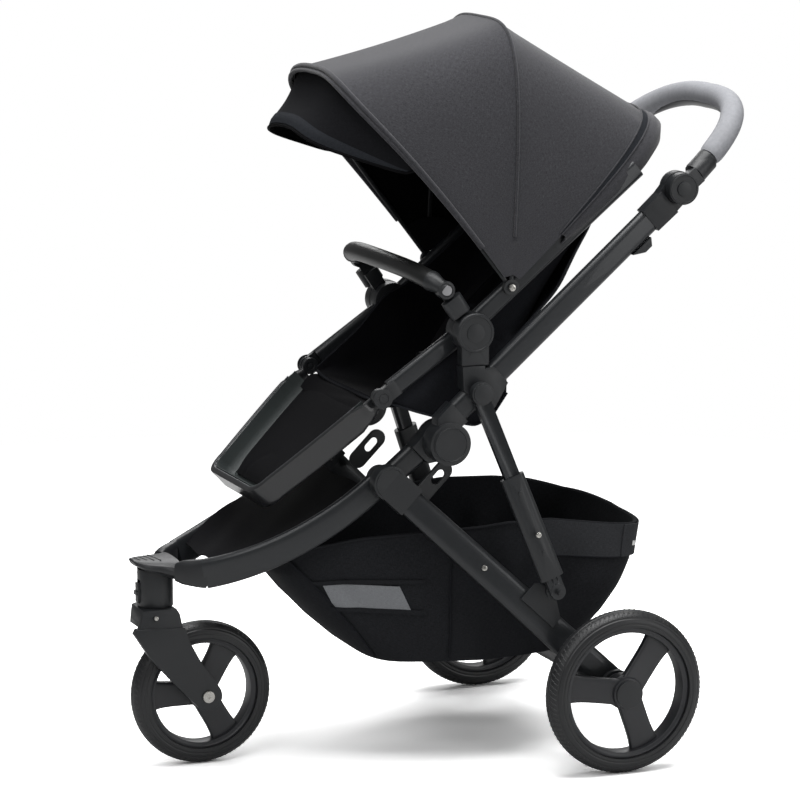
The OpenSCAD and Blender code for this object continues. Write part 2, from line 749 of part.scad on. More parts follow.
// ---- seat ----
hinge_r = 14;
hinge_mid = seat_tube_x + 1;
module seat_tube_run()
    bar(at(seat_tube_x, legrest_hinge + polar(19, seat_front_angle)), at(seat_tube_x, seat_hub))
        oval(seat_tube_t, seat_tube_w);
module seat_back_run()
    bar(at(seat_tube_x, seat_hub), at(seat_tube_x, back_top)) oval(seat_tube_t, seat_tube_w);
module seat_frame() {
    color("#26272a") {
        left_right() difference() {
            union() {
                seat_tube_run();
                seat_back_run();
            }
            pin(seat_hub_r - 1, seat_tube_x - seat_tube_t, seat_tube_x + seat_tube_t, seat_hub);
        }
        pin(7, 2 - seat_tube_x, seat_tube_x - 2, back_top - polar(12, seat_back_angle));
    }
}
// hubs on the seat tubes: main hubs with their pins, canopy pivots and the fixed half of the legrest hinges
module seat_hubs() {
    color("#34363a") left_right() {
        pin(seat_hub_r - 1, seat_tube_x - seat_tube_t / 2, post_in - face_gap, seat_hub);
        pin(hub_pin_r, post_in - face_gap, post_out - 7 - face_gap, seat_hub);
        pin(pin_r, seat_in, seat_in + 2 * bow_layer, canopy_pivot);
        difference() {
            union() {
                pin(hinge_r, hinge_mid, seat_in + 2, legrest_hinge);
                bar(at(mix(hinge_mid, seat_in + 2, 0.5), legrest_hinge),
                    at(mix(hinge_mid, seat_in + 2, 0.5), legrest_hinge + polar(30, seat_front_angle)))
                    square([seat_in + 2 - hinge_mid, 24], center = true);
            }
            seat_tube_run();
        }
        pin(pin_r, seat_tube_x - seat_tube_t / 2, hinge_mid, legrest_hinge);
    }
}

bucket_half_w = seat_tube_x - seat_tube_t / 2 - face_gap;
bucket_low = seat_z - seat_depth - 41;
// side outline of the bucket: under the frame line, round the seat's lowest point, up behind the back
function bucket_outline(d) = [
    legrest_hinge + [8 + d, -4],
    legrest_hinge + [10 + d, -16 + d / 2],
    [legrest_hinge[0] + 30 + d, bucket_low + 12 + d],
    [seat_y - 30, bucket_low + 1 + d],
    [seat_y + 42, bucket_low + d],
    [seat_y + 72, bucket_low + 10 + d],
    [seat_y + 94 - d, bucket_low + 70],
    on_frame(137, d - 54),
    on_frame(277, d - 14),
    on_frame(seat_back_len - 24, d - 14),
    on_frame(seat_back_len - 24 + 2 * d, 9)];
function on_frame(s, up) = seat_hub + polar(s, seat_back_angle) + polar(up, seat_back_angle + 90);
module seat_bucket() {
    color("#1c1c1e") difference() {
        slab(-bucket_half_w, bucket_half_w) polygon(concat(bucket_outline(0), [seat_hub + [0, 12]]));
        slab(-bucket_half_w + seat_wall, bucket_half_w - seat_wall)
            polygon(concat(bucket_outline(seat_wall), [back_top + [-40, 60], seat_hub + [-30, 60],
                legrest_hinge + [-30, 60]]));
    }
}

// line up the inner face of the backrest
back_a = on_frame(137, seat_wall - 54);
back_b = on_frame(277, seat_wall - 14);
back_dir = unit(back_b - back_a);
function on_back(s, up) = back_a + back_dir * s + [-back_dir[1], back_dir[0]] * up;
strap_x = 42;
strap_t = 6;
// shoulder straps with pads, crotch strap and buckle
module harness() {
    seat_floor = bucket_low + seat_wall + 1;
    lift = strap_t / 2 + face_gap;
    color("#141416") {
        left_right() bar(at(strap_x, on_back(4, lift)), at(strap_x, on_back(140, lift)))
            square([34, strap_t], center = true);
        translate([-18, seat_y - 6, seat_floor]) cube([36, 10, 46]);
        translate([-26, seat_y - 8, seat_floor + 46]) cube([52, 14, 32]);
    }
}

legrest_x = 150;
legrest_side = 26;
legrest_t = 12;
legrest_corner = 26;
legrest_straight = legrest_len - legrest_corner - legrest_side / 2;
legrest_root = 8;
function legrest_edge(s) = mix(legrest_x, legrest_front_x, pow(max(0, s - 22) / (legrest_straight - 22), 1.2));
function on_legrest(x, s) = at(x, legrest_hinge - polar(s, legrest_angle));
legrest_hub_x = mix(seat_tube_x - seat_tube_t / 2, hinge_mid - face_gap, 0.5);
module legrest_frame() {
    half = concat(
        [for (s = [hinge_r - 3, hinge_r + 1.5]) on_legrest(legrest_hub_x, s)],
        [for (t = steps(4)) let (s = mix(hinge_r + 8, legrest_straight, t)) on_legrest(legrest_edge(s), s)],
        [for (a = [18:18:90]) on_legrest(legrest_front_x - legrest_corner * (1 - cos(a)),
            legrest_straight + legrest_corner * sin(a))]);
    path = concat(half, [for (i = [len(half) - 1:-1:0]) [-half[i][0], half[i][1], half[i][2]]]);
    last = len(path) - 1;
    function is_root(i) = i < 2 || i > last - 2;
    color("#2c2d30") sweep(path, [for (i = [0:last]) is_root(i) ? legrest_root : legrest_t],
        [for (p = path) legrest_side],
        ref = [0, -sin(legrest_angle), cos(legrest_angle)], sides = 16, power = 0.7);
}
module legrest_hubs()
    color("#34363a") left_right() difference() {
        pin(hinge_r - 1, seat_tube_x - seat_tube_t / 2 + 0.2, hinge_mid - face_gap, legrest_hinge);
        pin(pin_r + run_fit, seat_tube_x - seat_tube_t, hinge_mid, legrest_hinge);
    }
// pad between the legrest's side tubes, narrowing with them
module legrest_pad() {
    inset = legrest_t / 2 + 0.6;
    far = legrest_len - legrest_side - 1;
    edge = concat([for (t = steps(4)) let (s = mix(24, far - 18, t)) [legrest_edge(s) - inset, -s]],
        [[legrest_front_x - 14, -far + 8], [legrest_front_x - 24, -far]]);
    color("#3c403d") translate(at(0, legrest_hinge)) rotate([legrest_angle, 0, 0]) translate([0, 0,
        -9]) linear_extrude(18)
        polygon(concat(edge, [for (i = [len(edge) - 1:-1:0]) [-edge[i][0], edge[i][1]]]));
}

// ---- bumper bar ----
bumper_in = post_in + 0.2;
elbow_gap = 17;
bumper_dir = unit(bumper_elbow - seat_hub);
module bumper_arms() {
    foot = seat_hub + bumper_dir * (seat_hub_r + 4);
    tip = bumper_elbow - bumper_dir * 16.5;
    color("#34363a") left_right() {
        bar(at(bumper_x - 1, foot), at(bumper_x - 1, tip)) oval(17, 34);
        pin(10, bumper_x - 9.5, bumper_x - 4, bumper_elbow);
        bar(at(bumper_x - 6.8, tip - bumper_dir * 4), at(bumper_x - 6.8, bumper_elbow))
            square([5.4, 18], center = true);
        bar(at(seat_in + 4.75, seat_hub + bumper_dir * (seat_hub_r - 6)), at(seat_in + 4.75,
            foot + bumper_dir * 22)) square([9.4, 22], center = true);
    }
}
b_dir = [0, -cos(bumper_angle), sin(bumper_angle)];
b_normal = [0, sin(bumper_angle), cos(bumper_angle)];
module bumper_bar() {
    half = [for (t = steps(12)) if (t > 0.12) at(bezier(bumper_x, bumper_x - 4, bumper_x * 0.66, 0,
        t), bumper_elbow)
        + b_dir * bezier(0, bumper_reach * 0.66, bumper_reach, bumper_reach, t)];
    path = concat(half, [for (i = [len(half) - 2:-1:0]) [-half[i][0], half[i][1], half[i][2]]]);
    color("#4a4a4a") {
        sweep(path, [for (p = path) 2 * bumper_r], [for (p = path) 2 * bumper_r], ref = b_normal,
            sides = 20);
        left_right() {
            pin(14, bumper_x - 3.6, bumper_x + 8, bumper_elbow);
            bar(at(bumper_x + 2, bumper_elbow), [bumper_x + 2, half[1][1], half[1][2]]) square([11,
                24], center = true);
        }
    }
}

// ---- canopy ----
bow_layer = 4.1;
bow_t = 3.7;
canopy_half_w = seat_in + 2 * bow_layer + 0.4 + canopy_t;
function hoop(u) = let (c = cos(180 * u), s = sin(180 * u)) [sign(c) * sqrt(abs(c)), sqrt(s)];
function canopy_at(r, w, a, u) = let (h = hoop(u), p = canopy_pivot + polar(r * h[1],
    a)) [w * h[0], p[0], p[1]];

// thin closed shell over rows of points, given with the matching rows of its inner face
module shell(outer, inner) {
    m = len(outer);
    k = len(outer[0]);
    off = m * k;
    skin = [for (i = [0:m - 2]) for (j = [0:k - 2]) [i * k + j, (i + 1) * k + j,
        (i + 1) * k + j + 1, i * k + j + 1]];
    lining = [for (f = skin) [f[3] + off, f[2] + off, f[1] + off, f[0] + off]];
    hem_a = [for (j = [0:k - 2]) [j, j + 1, j + 1 + off, j + off]];
    hem_b = [for (j = [0:k - 2]) let (q = (m - 1) * k + j) [q + 1, q, q + off, q + 1 + off]];
    foot_a = [for (i = [0:m - 2]) [i * k, i * k + off, (i + 1) * k + off, (i + 1) * k]];
    foot_b = [for (i = [0:m - 2]) let (q = i * k + k - 1) [q + off, q, q + k, q + k + off]];
    polyhedron([each each outer, each each inner], concat(skin, lining, hem_a, hem_b, foot_a,
        foot_b), convexity = 6);
}
// cloth between hoops, each given as [radius, angle]
cloth_steps = 22;
function hoop_row(r, a, inset) =
    [for (u = steps(cloth_steps)) canopy_at(r - inset, canopy_half_w - inset, a, mix(0.003, 0.997, u))];
module cloth(hoops)
    shell([for (h = hoops) hoop_row(h[0], h[1], 0)], [for (h = hoops) hoop_row(h[0], h[1], canopy_t)]);
seam_gap = 0.12;
sag = 20;
module canopy_rear_panel()
    color("#2b2826") cloth([[canopy_rear_r, canopy_rear_a],
        [mix(canopy_rear_r, canopy_mid_r, 0.5) - sag, mix(canopy_rear_a, canopy_mid_a, 0.5)],
        [canopy_mid_r, canopy_mid_a - seam_gap]]);
module canopy_middle_panel()
    color("#2b2826") cloth([[canopy_mid_r, canopy_mid_a + seam_gap],
        [mix(canopy_mid_r, canopy_front_r, 0.5) - sag, mix(canopy_mid_a, canopy_front_a, 0.5)],
        [canopy_front_r, canopy_front_a - seam_gap]]);

// peak in front of the front bow, widest at the middle and running out towards the sides
visor_a = 16;
visor_drop = 22;
visor_from = 0.2;
module canopy_visor() {
    function row(f, inset) = [for (u = steps(cloth_steps)) let (w = f * sqrt(sin(180 * u)))
        canopy_at(canopy_front_r - w * visor_drop - inset,
            canopy_half_w - inset - 0.12 * f * canopy_half_w * sqrt(sin(180 * u)),
            canopy_front_a - seam_gap / 2 + w * visor_a, mix(visor_from, 1 - visor_from, u))];
    color("#2b2826") shell([for (f = [0, 0.5, 1]) row(f, 0)], [for (f = [0, 0.5, 1]) row(f, canopy_t)]);
}

// bow with flat feet on the canopy pivot pins
bow_w = 7;
bow_from = 0.0002;
module bow(cloth_r, layer, a) {
    r = cloth_r - canopy_t - bow_t / 2 - 1.5;
    x = seat_in + 0.2 + bow_layer * layer + bow_t / 2;
    path = [for (t = steps(cloth_steps)) canopy_at(r, x, a, mix(bow_from, 1 - bow_from, t))];
    difference() {
        union() {
            sweep(path, [for (p = path) bow_t], [for (p = path) bow_w], ref = [0, -sin(a), cos(a)],
                sides = 8);
            left_right() pin(12, x - bow_t / 2, x + bow_t / 2, canopy_pivot);
        }
        left_right() pin(pin_r + run_fit, x - 9, x + 9, canopy_pivot);
    }
}
module canopy_middle_bow() color("#1c1c1e") bow(canopy_mid_r, 1, canopy_mid_a);
module canopy_front_bow() color("#1c1c1e") bow(canopy_front_r, 0, canopy_front_a);

// ---- basket ----
basket_front_y = leg_y - 150;
rail_over_basket = [for (t = steps(60)) let (p = rail_point(t)) if (p[1] > basket_front_y) p][0];
basket_hang_z = rail_over_basket[2] - rail_h / 2 - 1.6;
module basket_form(inset) {
    low = basket_floor_z + inset;
    rise = 12 * inset;
    side = [[basket_front_y + inset, basket_hang_z + rise], [basket_front_y + 6 + inset, basket_rim_z - 50],
        [leg_y - 48 + inset / 2, low + 34], [leg_y - 4, low], [rear_axle_y - 60, low + 12],
        [basket_rear_y - 34 - inset, low + 42], [basket_rear_y - inset, basket_rim_z + rise]];
    plan = [[rail_x(basket_front_y) - 8, basket_front_y + inset], [rail_x_rear - 16, leg_y],
        [basket_half_w, 20], [basket_half_w, basket_rear_y - inset]];
    intersection() {
        slab(-400, 400) polygon(side);
        linear_extrude(500) polygon([for (s = [1, -1]) for (i = [0:3])
            let (p = plan[s > 0 ? i : 3 - i]) [s * (p[0] - inset), p[1]]]);
    }
}
module basket() color("#1f1f21") difference() {
    basket_form(0);
    basket_form(basket_t);
}

nose_block();
swivel_housing();
rail_left();
rail_right();
upper_tubes();
fold_housings();
front_cross_tube();
swivel_lock();
fork_arm();
fork_stem();
front_axle();
front_tyre();
front_rim();
leg_left();
leg_right();
leg_caps();
leg_feet();
strut_brackets();
latch_plates();
rear_axle_beam();
brake_pedal();
strut_left();
strut_right();
strut_covers();
strut_knobs();
rear_tyre_left();
rear_tyre_right();
rear_rim_left();
rear_rim_right();
hub_cap_left();
hub_cap_right();
handle_tubes();
fold_hubs();
seat_sockets();
seat_posts();
bar_housings();
handlebar_tube();
handlebar_joints();
grip_cover();
bar_button_left();
bar_button_right();
fold_trigger_left();
fold_trigger_right();
seat_button_left();
seat_button_right();
seat_frame();
seat_hubs();
seat_bucket();
harness();
legrest_frame();
legrest_hubs();
legrest_pad();
bumper_arms();
bumper_bar();
canopy_rear_panel();
canopy_middle_panel();
canopy_middle_bow();
canopy_front_bow();
canopy_visor();
basket();
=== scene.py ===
import json
import math
import bpy
import numpy as np
from mathutils import Matrix, Vector

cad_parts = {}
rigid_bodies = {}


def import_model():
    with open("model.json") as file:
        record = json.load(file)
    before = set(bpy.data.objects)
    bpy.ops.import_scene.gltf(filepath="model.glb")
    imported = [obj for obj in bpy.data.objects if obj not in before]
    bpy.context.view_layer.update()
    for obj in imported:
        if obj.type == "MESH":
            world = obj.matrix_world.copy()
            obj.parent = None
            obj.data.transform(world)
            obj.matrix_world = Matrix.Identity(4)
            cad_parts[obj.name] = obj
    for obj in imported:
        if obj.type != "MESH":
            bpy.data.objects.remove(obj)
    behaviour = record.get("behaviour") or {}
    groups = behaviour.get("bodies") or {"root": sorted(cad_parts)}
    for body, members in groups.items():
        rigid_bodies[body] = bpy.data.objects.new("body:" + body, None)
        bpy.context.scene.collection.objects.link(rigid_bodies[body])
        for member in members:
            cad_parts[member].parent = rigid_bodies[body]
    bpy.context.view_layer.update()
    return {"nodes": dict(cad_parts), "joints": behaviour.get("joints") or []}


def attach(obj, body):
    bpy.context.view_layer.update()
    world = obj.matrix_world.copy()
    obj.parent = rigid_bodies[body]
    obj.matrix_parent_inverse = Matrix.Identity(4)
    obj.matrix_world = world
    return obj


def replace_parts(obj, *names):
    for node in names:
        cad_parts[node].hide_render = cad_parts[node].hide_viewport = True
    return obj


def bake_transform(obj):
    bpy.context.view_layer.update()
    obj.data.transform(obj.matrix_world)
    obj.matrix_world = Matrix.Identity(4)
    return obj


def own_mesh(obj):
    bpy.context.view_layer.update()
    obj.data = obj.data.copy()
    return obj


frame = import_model()
nodes = frame["nodes"]
print("frame:", len(nodes), "nodes")

# pivots of the joints in millimetres, as (x, y, z)
pivot = {j["name"]: np.array(j["pos_m"], float) * 1000 for j in frame["joints"] if j.get("pos_m")}
seatHub, legrestHinge = pivot["seat_recline"], pivot["legrest_tilt"]
canopyPivot, barJoint = pivot["canopy_middle_fold"], pivot["handlebar_tilt"]
bumperElbow, foldPivot = pivot["bumper_lift"], pivot["chassis_fold"]
legTop, rearAxle, frontAxle = pivot["rear_leg_fold"], pivot["rear_wheel_left_spin"], pivot["front_wheel_spin"]


# camera, light and floor
studio = {
    "target": (0.0, -0.0403, 0.5), "azimuth": 68.633, "elevation": 10.457, "distance": 6.0,
    "lens": 176.58, "shift": (-0.0035, 0.0295), "sensor": 36, "clipEnd": 40, "sky": 0.17,
    "floorHalf": 30.0, "floorZ": -0.0005, "floorColour": 0.6, "floorWhite": 1.75, "fade": (0.9, 2.6),
}
# place, aim, size and power of each lamp
lamps = {
    "keyLight": ((2.6, -2.4, 3.0), (0, -0.1, 0.5), (2.2, 2.2), 42),
    "topLight": ((0.2, 0.2, 3.6), (0, 0, 0.6), (3.0, 3.0), 175),
    "sideLight": ((3.2, 2.4, 1.4), (0, 0.1, 0.5), (1.4, 2.4), 26),
    "rimLight": ((-3.0, 1.2, 2.6), (0, 0, 0.6), (2.4, 2.0), 50),
}


def addObject(name, data):
    obj = bpy.data.objects.new(name, data)
    bpy.context.scene.collection.objects.link(obj)
    return obj


# inputs are sockets to link or values to set, by name or number
def addNode(tree, kind, inputs=None, **settings):
    node = tree.nodes.new(kind)
    for key, value in settings.items():
        setattr(node, key, value)
    for key, value in (inputs or {}).items():
        if isinstance(value, bpy.types.NodeSocket):
            tree.links.new(value, node.inputs[key])
        else:
            node.inputs[key].default_value = value
    return node


def emptyTree(owner):
    owner.use_nodes = True
    owner.node_tree.nodes.clear()
    return owner.node_tree


def arithmetic(tree, kind, a, b=0.5, clamp=False):
    return addNode(tree, "ShaderNodeMath", {0: a, 1: b}, operation=kind, use_clamp=clamp).outputs[0]


def times(tree, a, b, clamp=False):
    return arithmetic(tree, "MULTIPLY", a, b, clamp)


def plus(tree, a, b, clamp=False):
    return arithmetic(tree, "ADD", a, b, clamp)


def minus(tree, a, b):
    return arithmetic(tree, "SUBTRACT", a, b)


def placeCamera():
    a, e = math.radians(studio["azimuth"]), math.radians(studio["elevation"])
    away = Vector((math.sin(a) * math.cos(e), -math.cos(a) * math.cos(e), math.sin(e)))
    data = bpy.data.cameras.new("camera")
    data.sensor_width, data.lens = studio["sensor"], studio["lens"]
    data.shift_x, data.shift_y = studio["shift"]
    data.clip_end = studio["clipEnd"]
    camera = addObject("camera", data)
    camera.location = Vector(studio["target"]) + away * studio["distance"]
    camera.rotation_euler = (-away).to_track_quat("-Z", "Y").to_euler()
    bpy.context.scene.camera = camera


def areaLight(name, place, aim, size, power):
    data = bpy.data.lights.new(name, "AREA")
    data.shape, data.size, data.size_y, data.energy = "RECTANGLE", size[0], size[1], power
    lamp = addObject(name, data)
    lamp.location = place
    lamp.rotation_euler = (Vector(aim) - Vector(place)).to_track_quat("-Z", "Y").to_euler()


# the camera sees a white sky, and the pieces are lit by a dim one
def lightSky():
    world = bpy.data.worlds.new("studioSky")
    bpy.context.scene.world = world
    tree = emptyTree(world)
    dim, white = (addNode(tree, "ShaderNodeBackground", {"Color": (1, 1, 1, 1), "Strength": strength})
                  for strength in (studio["sky"], 1.0))
    path = addNode(tree, "ShaderNodeLightPath")
    mix = addNode(tree, "ShaderNodeMixShader",
                  {"Fac": path.outputs["Is Camera Ray"], 1: dim.outputs[0], 2: white.outputs[0]})
    addNode(tree, "ShaderNodeOutputWorld", {"Surface": mix.outputs[0]})


# the floor looks white to the camera, still takes the shadow and fades into the sky
def layFloor():
    half, z = studio["floorHalf"], studio["floorZ"]
    data = bpy.data.meshes.new("floor")
    corners = [(-half, -half, z), (half, -half, z), (half, half, z), (-half, half, z)]
    data.from_pydata(corners, [], [(0, 1, 2, 3)])
    floor = addObject("floor", data)
    material = bpy.data.materials.new("studioFloor")
    tree = emptyTree(material)
    seen = addNode(tree, "ShaderNodeLightPath").outputs["Is Camera Ray"]
    tone = addNode(tree, "ShaderNodeMapRange",
                   {"To Min": studio["floorColour"], "To Max": studio["floorWhite"], "Value": seen})
    matte = addNode(tree, "ShaderNodeBsdfDiffuse", {"Color": tone.outputs[0]})
    glow = addNode(tree, "ShaderNodeEmission")
    place = addNode(tree, "ShaderNodeTexCoord").outputs["Object"]
    distance = addNode(tree, "ShaderNodeVectorMath", {0: place}, operation="LENGTH").outputs["Value"]
    fade = addNode(tree, "ShaderNodeMapRange",
                   {"From Min": studio["fade"][0], "From Max": studio["fade"][1], "Value": distance})
    mix = addNode(tree, "ShaderNodeMixShader",
                  {"Fac": times(tree, fade.outputs[0], seen), 1: matte.outputs[0], 2: glow.outputs[0]})
    addNode(tree, "ShaderNodeOutputMaterial", {"Surface": mix.outputs[0]})
    data.materials.append(material)


placeCamera()
lightSky()
for lampName, settings in lamps.items():
    areaLight(lampName, *settings)
layFloor()
bpy.context.scene.view_settings.view_transform = "Standard"
print("studio ready")


# shader groups shared by the finishes
weaveLook = {"yarn": 1100.0, "yarnStretch": 0.16, "contrast": 3.2, "cloud": 9.0}
grainLook = {"pebble": 3.0, "fleck": 160.0, "cloud": 7.0}
wearLook = {"ridge": 0.515, "ridgeGain": 14.0, "patch": 45.0, "patchLess": -0.25,
            "level": 0.15, "speck": 30.0, "speckFrom": 0.42, "speckGain": 3.0}


def linear(rgb):
    return tuple((c / 255 / 12.92) if c <= 10 else ((c / 255 + 0.055) / 1.055) ** 2.4 for c in rgb) + (1.0,)


def newGroup(name, inputs, outputs):
    tree = bpy.data.node_groups.new(name, "ShaderNodeTree")
    for label, kind, value in inputs:
        socket = tree.interface.new_socket(label, in_out="INPUT", socket_type="NodeSocket" + kind)
        if kind == "Float":
            socket.default_value = value
    for label in outputs:
        tree.interface.new_socket(label, in_out="OUTPUT", socket_type="NodeSocketFloat")
    return tree, tree.nodes.new("NodeGroupInput").outputs


def noise(tree, vector, scale, detail=3.0):
    inputs = {"Vector": vector, "Scale": scale, "Detail": detail, "Roughness": 0.55}
    return addNode(tree, "ShaderNodeTexNoise", inputs).outputs["Fac"]


def stretched(tree, vector, x, y):
    return addNode(tree, "ShaderNodeVectorMath", {0: vector, 1: (x, y, 1.0)}, operation="MULTIPLY").outputs[0]


# plain weave with two yarn tones; vector in metres over the cloth
def makeWeaveGroup():
    tree, given = newGroup("yarnWeave", [("Vector", "Vector", None), ("Threads", "Float", 900.0)],
                           ["Tone", "Height", "Cloudy"])
    vector, look = given["Vector"], weaveLook
    split = addNode(tree, "ShaderNodeSeparateXYZ", {0: vector})
    turns = [times(tree, times(tree, split.outputs[axis], given["Threads"]), math.pi) for axis in ("X", "Y")]
    waves = [arithmetic(tree, "SINE", turn) for turn in turns]
    height = plus(tree, times(tree, times(tree, *waves), 0.5), 0.5)
    warp = noise(tree, stretched(tree, vector, 1.0, look["yarnStretch"]), look["yarn"], 2.0)
    weft = noise(tree, stretched(tree, vector, look["yarnStretch"], 1.0), look["yarn"], 2.0)
    yarns = times(tree, plus(tree, warp, weft), 0.5)
    tone = plus(tree, times(tree, minus(tree, yarns, 0.5), look["contrast"]), 0.5, True)
    addNode(tree, "NodeGroupOutput", {"Tone": tone, "Height": height,
                                      "Cloudy": noise(tree, vector, look["cloud"], 4.0)})
    return tree


# fine moulded or leather grain; vector in metres
def makeGrainGroup():
    tree, given = newGroup("mouldedGrain", [("Vector", "Vector", None), ("Scale", "Float", 700.0),
                                            ("Cells", "Float", 0.0)], ["Tone", "Height", "Cloudy"])
    vector, scale, look = given["Vector"], given["Scale"], grainLook
    cell = addNode(tree, "ShaderNodeTexVoronoi", {"Vector": vector, "Scale": scale},
                   feature="DISTANCE_TO_EDGE")
    pebble = times(tree, cell.outputs["Distance"], look["pebble"], True)
    height = addNode(tree, "ShaderNodeMix", {"Factor": given["Cells"], "A": noise(tree, vector, scale, 4.0),
                                             "B": pebble}, data_type="FLOAT").outputs["Result"]
    addNode(tree, "NodeGroupOutput", {"Tone": noise(tree, vector, look["fleck"], 5.0), "Height": height,
                                      "Cloudy": noise(tree, vector, look["cloud"])})
    return tree


# worn bright edges, and dust that settles on upward faces
def makeWearGroup():
    tree, given = newGroup("edgeWear", [("Vector", "Vector", None), ("Spread", "Float", 0.5)],
                           ["Edge", "Dust"])
    vector, look = given["Vector"], wearLook
    shape = addNode(tree, "ShaderNodeNewGeometry")
    ridge = times(tree, minus(tree, shape.outputs["Pointiness"], look["ridge"]), look["ridgeGain"], True)
    patchy = plus(tree, noise(tree, vector, look["patch"], 5.0), look["patchLess"], True)
    edge = times(tree, times(tree, ridge, patchy), given["Spread"], True)
    split = addNode(tree, "ShaderNodeSeparateXYZ", {0: shape.outputs["Normal"]})
    lift = times(tree, minus(tree, split.outputs["Z"], look["level"]), 1.0, True)
    speck = minus(tree, noise(tree, vector, look["speck"], 6.0), look["speckFrom"])
    dust = times(tree, lift, times(tree, speck, look["speckGain"], True), True)
    addNode(tree, "NodeGroupOutput", {"Edge": edge, "Dust": dust})
    return tree


weaveGroup, grainGroup, wearGroup = makeWeaveGroup(), makeGrainGroup(), makeWearGroup()


# colour and second colour, roughness, bump depth in metres, threads or grains to the metre
def cloth(colour, second, rough, threads, depth=0.0002, sheen=0.0):
    return dict(colour=colour, second=second, rough=rough, play=0.05, depth=depth, threads=threads,
                sheen=sheen, coords="UV")


def moulded(colour, second, rough, play, depth, grains, **more):
    return dict(colour=colour, second=second, rough=rough, play=play, depth=depth, grains=grains, **more)


finishes = {
    "framePaint": moulded((33, 35, 37), (39, 41, 44), 0.36, 0.08, 0.00004, 1500, wear=0.25, dust=0.03,
                          metal=0.25, coat=0.12),
    "darkPlastic": moulded((24, 26, 28), (29, 31, 34), 0.42, 0.1, 0.00008, 1300, wear=0.3, dust=0.03),
    "glossPlastic": moulded((24, 25, 27), (30, 31, 33), 0.3, 0.06, 0.00003, 900, wear=0.2, dust=0.02,
                            coat=0.3),
    "rimPlastic": moulded((33, 34, 37), (39, 40, 43), 0.4, 0.08, 0.00006, 1200, wear=0.35, dust=0.04),
    # the legrest lip is painted lighter than its band, as a painted highlight along that edge
    "lipPlastic": moulded((62, 64, 67), (70, 72, 75), 0.34, 0.05, 0.00002, 900, wear=0.1, dust=0.01),
    "tyreRubber": moulded((22, 23, 25), (31, 32, 34), 0.42, 0.14, 0.00012, 700, wear=0.3, dust=0.1),
    "brightMetal": moulded((178, 176, 170), (196, 194, 190), 0.28, 0.1, 0.00002, 900, wear=0.1, dust=0.02,
                           metal=1.0),
    "silverButton": moulded((150, 150, 152), (168, 168, 170), 0.35, 0.08, 0.00003, 900, metal=0.7),
    "legrestTray": moulded((50, 56, 56), (58, 64, 64), 0.55, 0.08, 0.00005, 1100, wear=0.1, dust=0.02),
    "gripLeather": moulded((130, 131, 135), (160, 161, 165), 0.72, 0.1, 0.00025, 420, cells=1.0, wear=0.2,
                           dust=0.02),
    "bumperLeather": moulded((19, 20, 20), (26, 27, 27), 0.4, 0.08, 0.00012, 600, cells=0.7, wear=0.2,
                             dust=0.02),
    "canopyCloth": cloth((40, 40, 43), (73, 73, 77), 0.9, 950, 0.00022, 0.25),
    # one lining in two painted tones: near-black for the shade deep inside the canopy, lighter for the light
    # that reaches it under the visor
    "canopyLining": cloth((7, 7, 8), (13, 13, 15), 0.9, 900),
    "liningPaintedLit": cloth((16, 16, 18), (26, 27, 30), 0.85, 900, sheen=0.01),
    "seatCloth": cloth((10, 10, 12), (18, 18, 21), 0.88, 850, sheen=0.01),
    "seatShell": cloth((22, 23, 26), (36, 37, 41), 0.88, 850, sheen=0.01),
    "basketCloth": cloth((26, 27, 29), (42, 43, 46), 0.88, 800, sheen=0.01),
    "basketCuff": cloth((42, 43, 45), (60, 61, 64), 0.85, 850, sheen=0.01),
    # the net window is painted pale grey for the light that shows through it from behind
    "basketNet": cloth((112, 114, 117), (132, 134, 137), 0.8, 420, 0.0003),
    "webbing": cloth((12, 12, 14), (24, 24, 26), 0.8, 700, 0.0003),
    "zipTape": cloth((30, 32, 36), (46, 48, 52), 0.75, 1200),
    "whiteTag": cloth((206, 206, 204), (222, 222, 220), 0.7, 900, 0.0001),
}
finishLook = {
    "shade": 0.8, "cloudy": 0.35, "brighten": 2.6, "brightLeast": 0.02, "dust": (0.30, 0.29, 0.27, 1.0),
    "sheenRough": 0.5, "matteFrom": 0.6, "glossySpecular": 0.5, "matteSpecular": 0.07, "bump": 0.7,
}


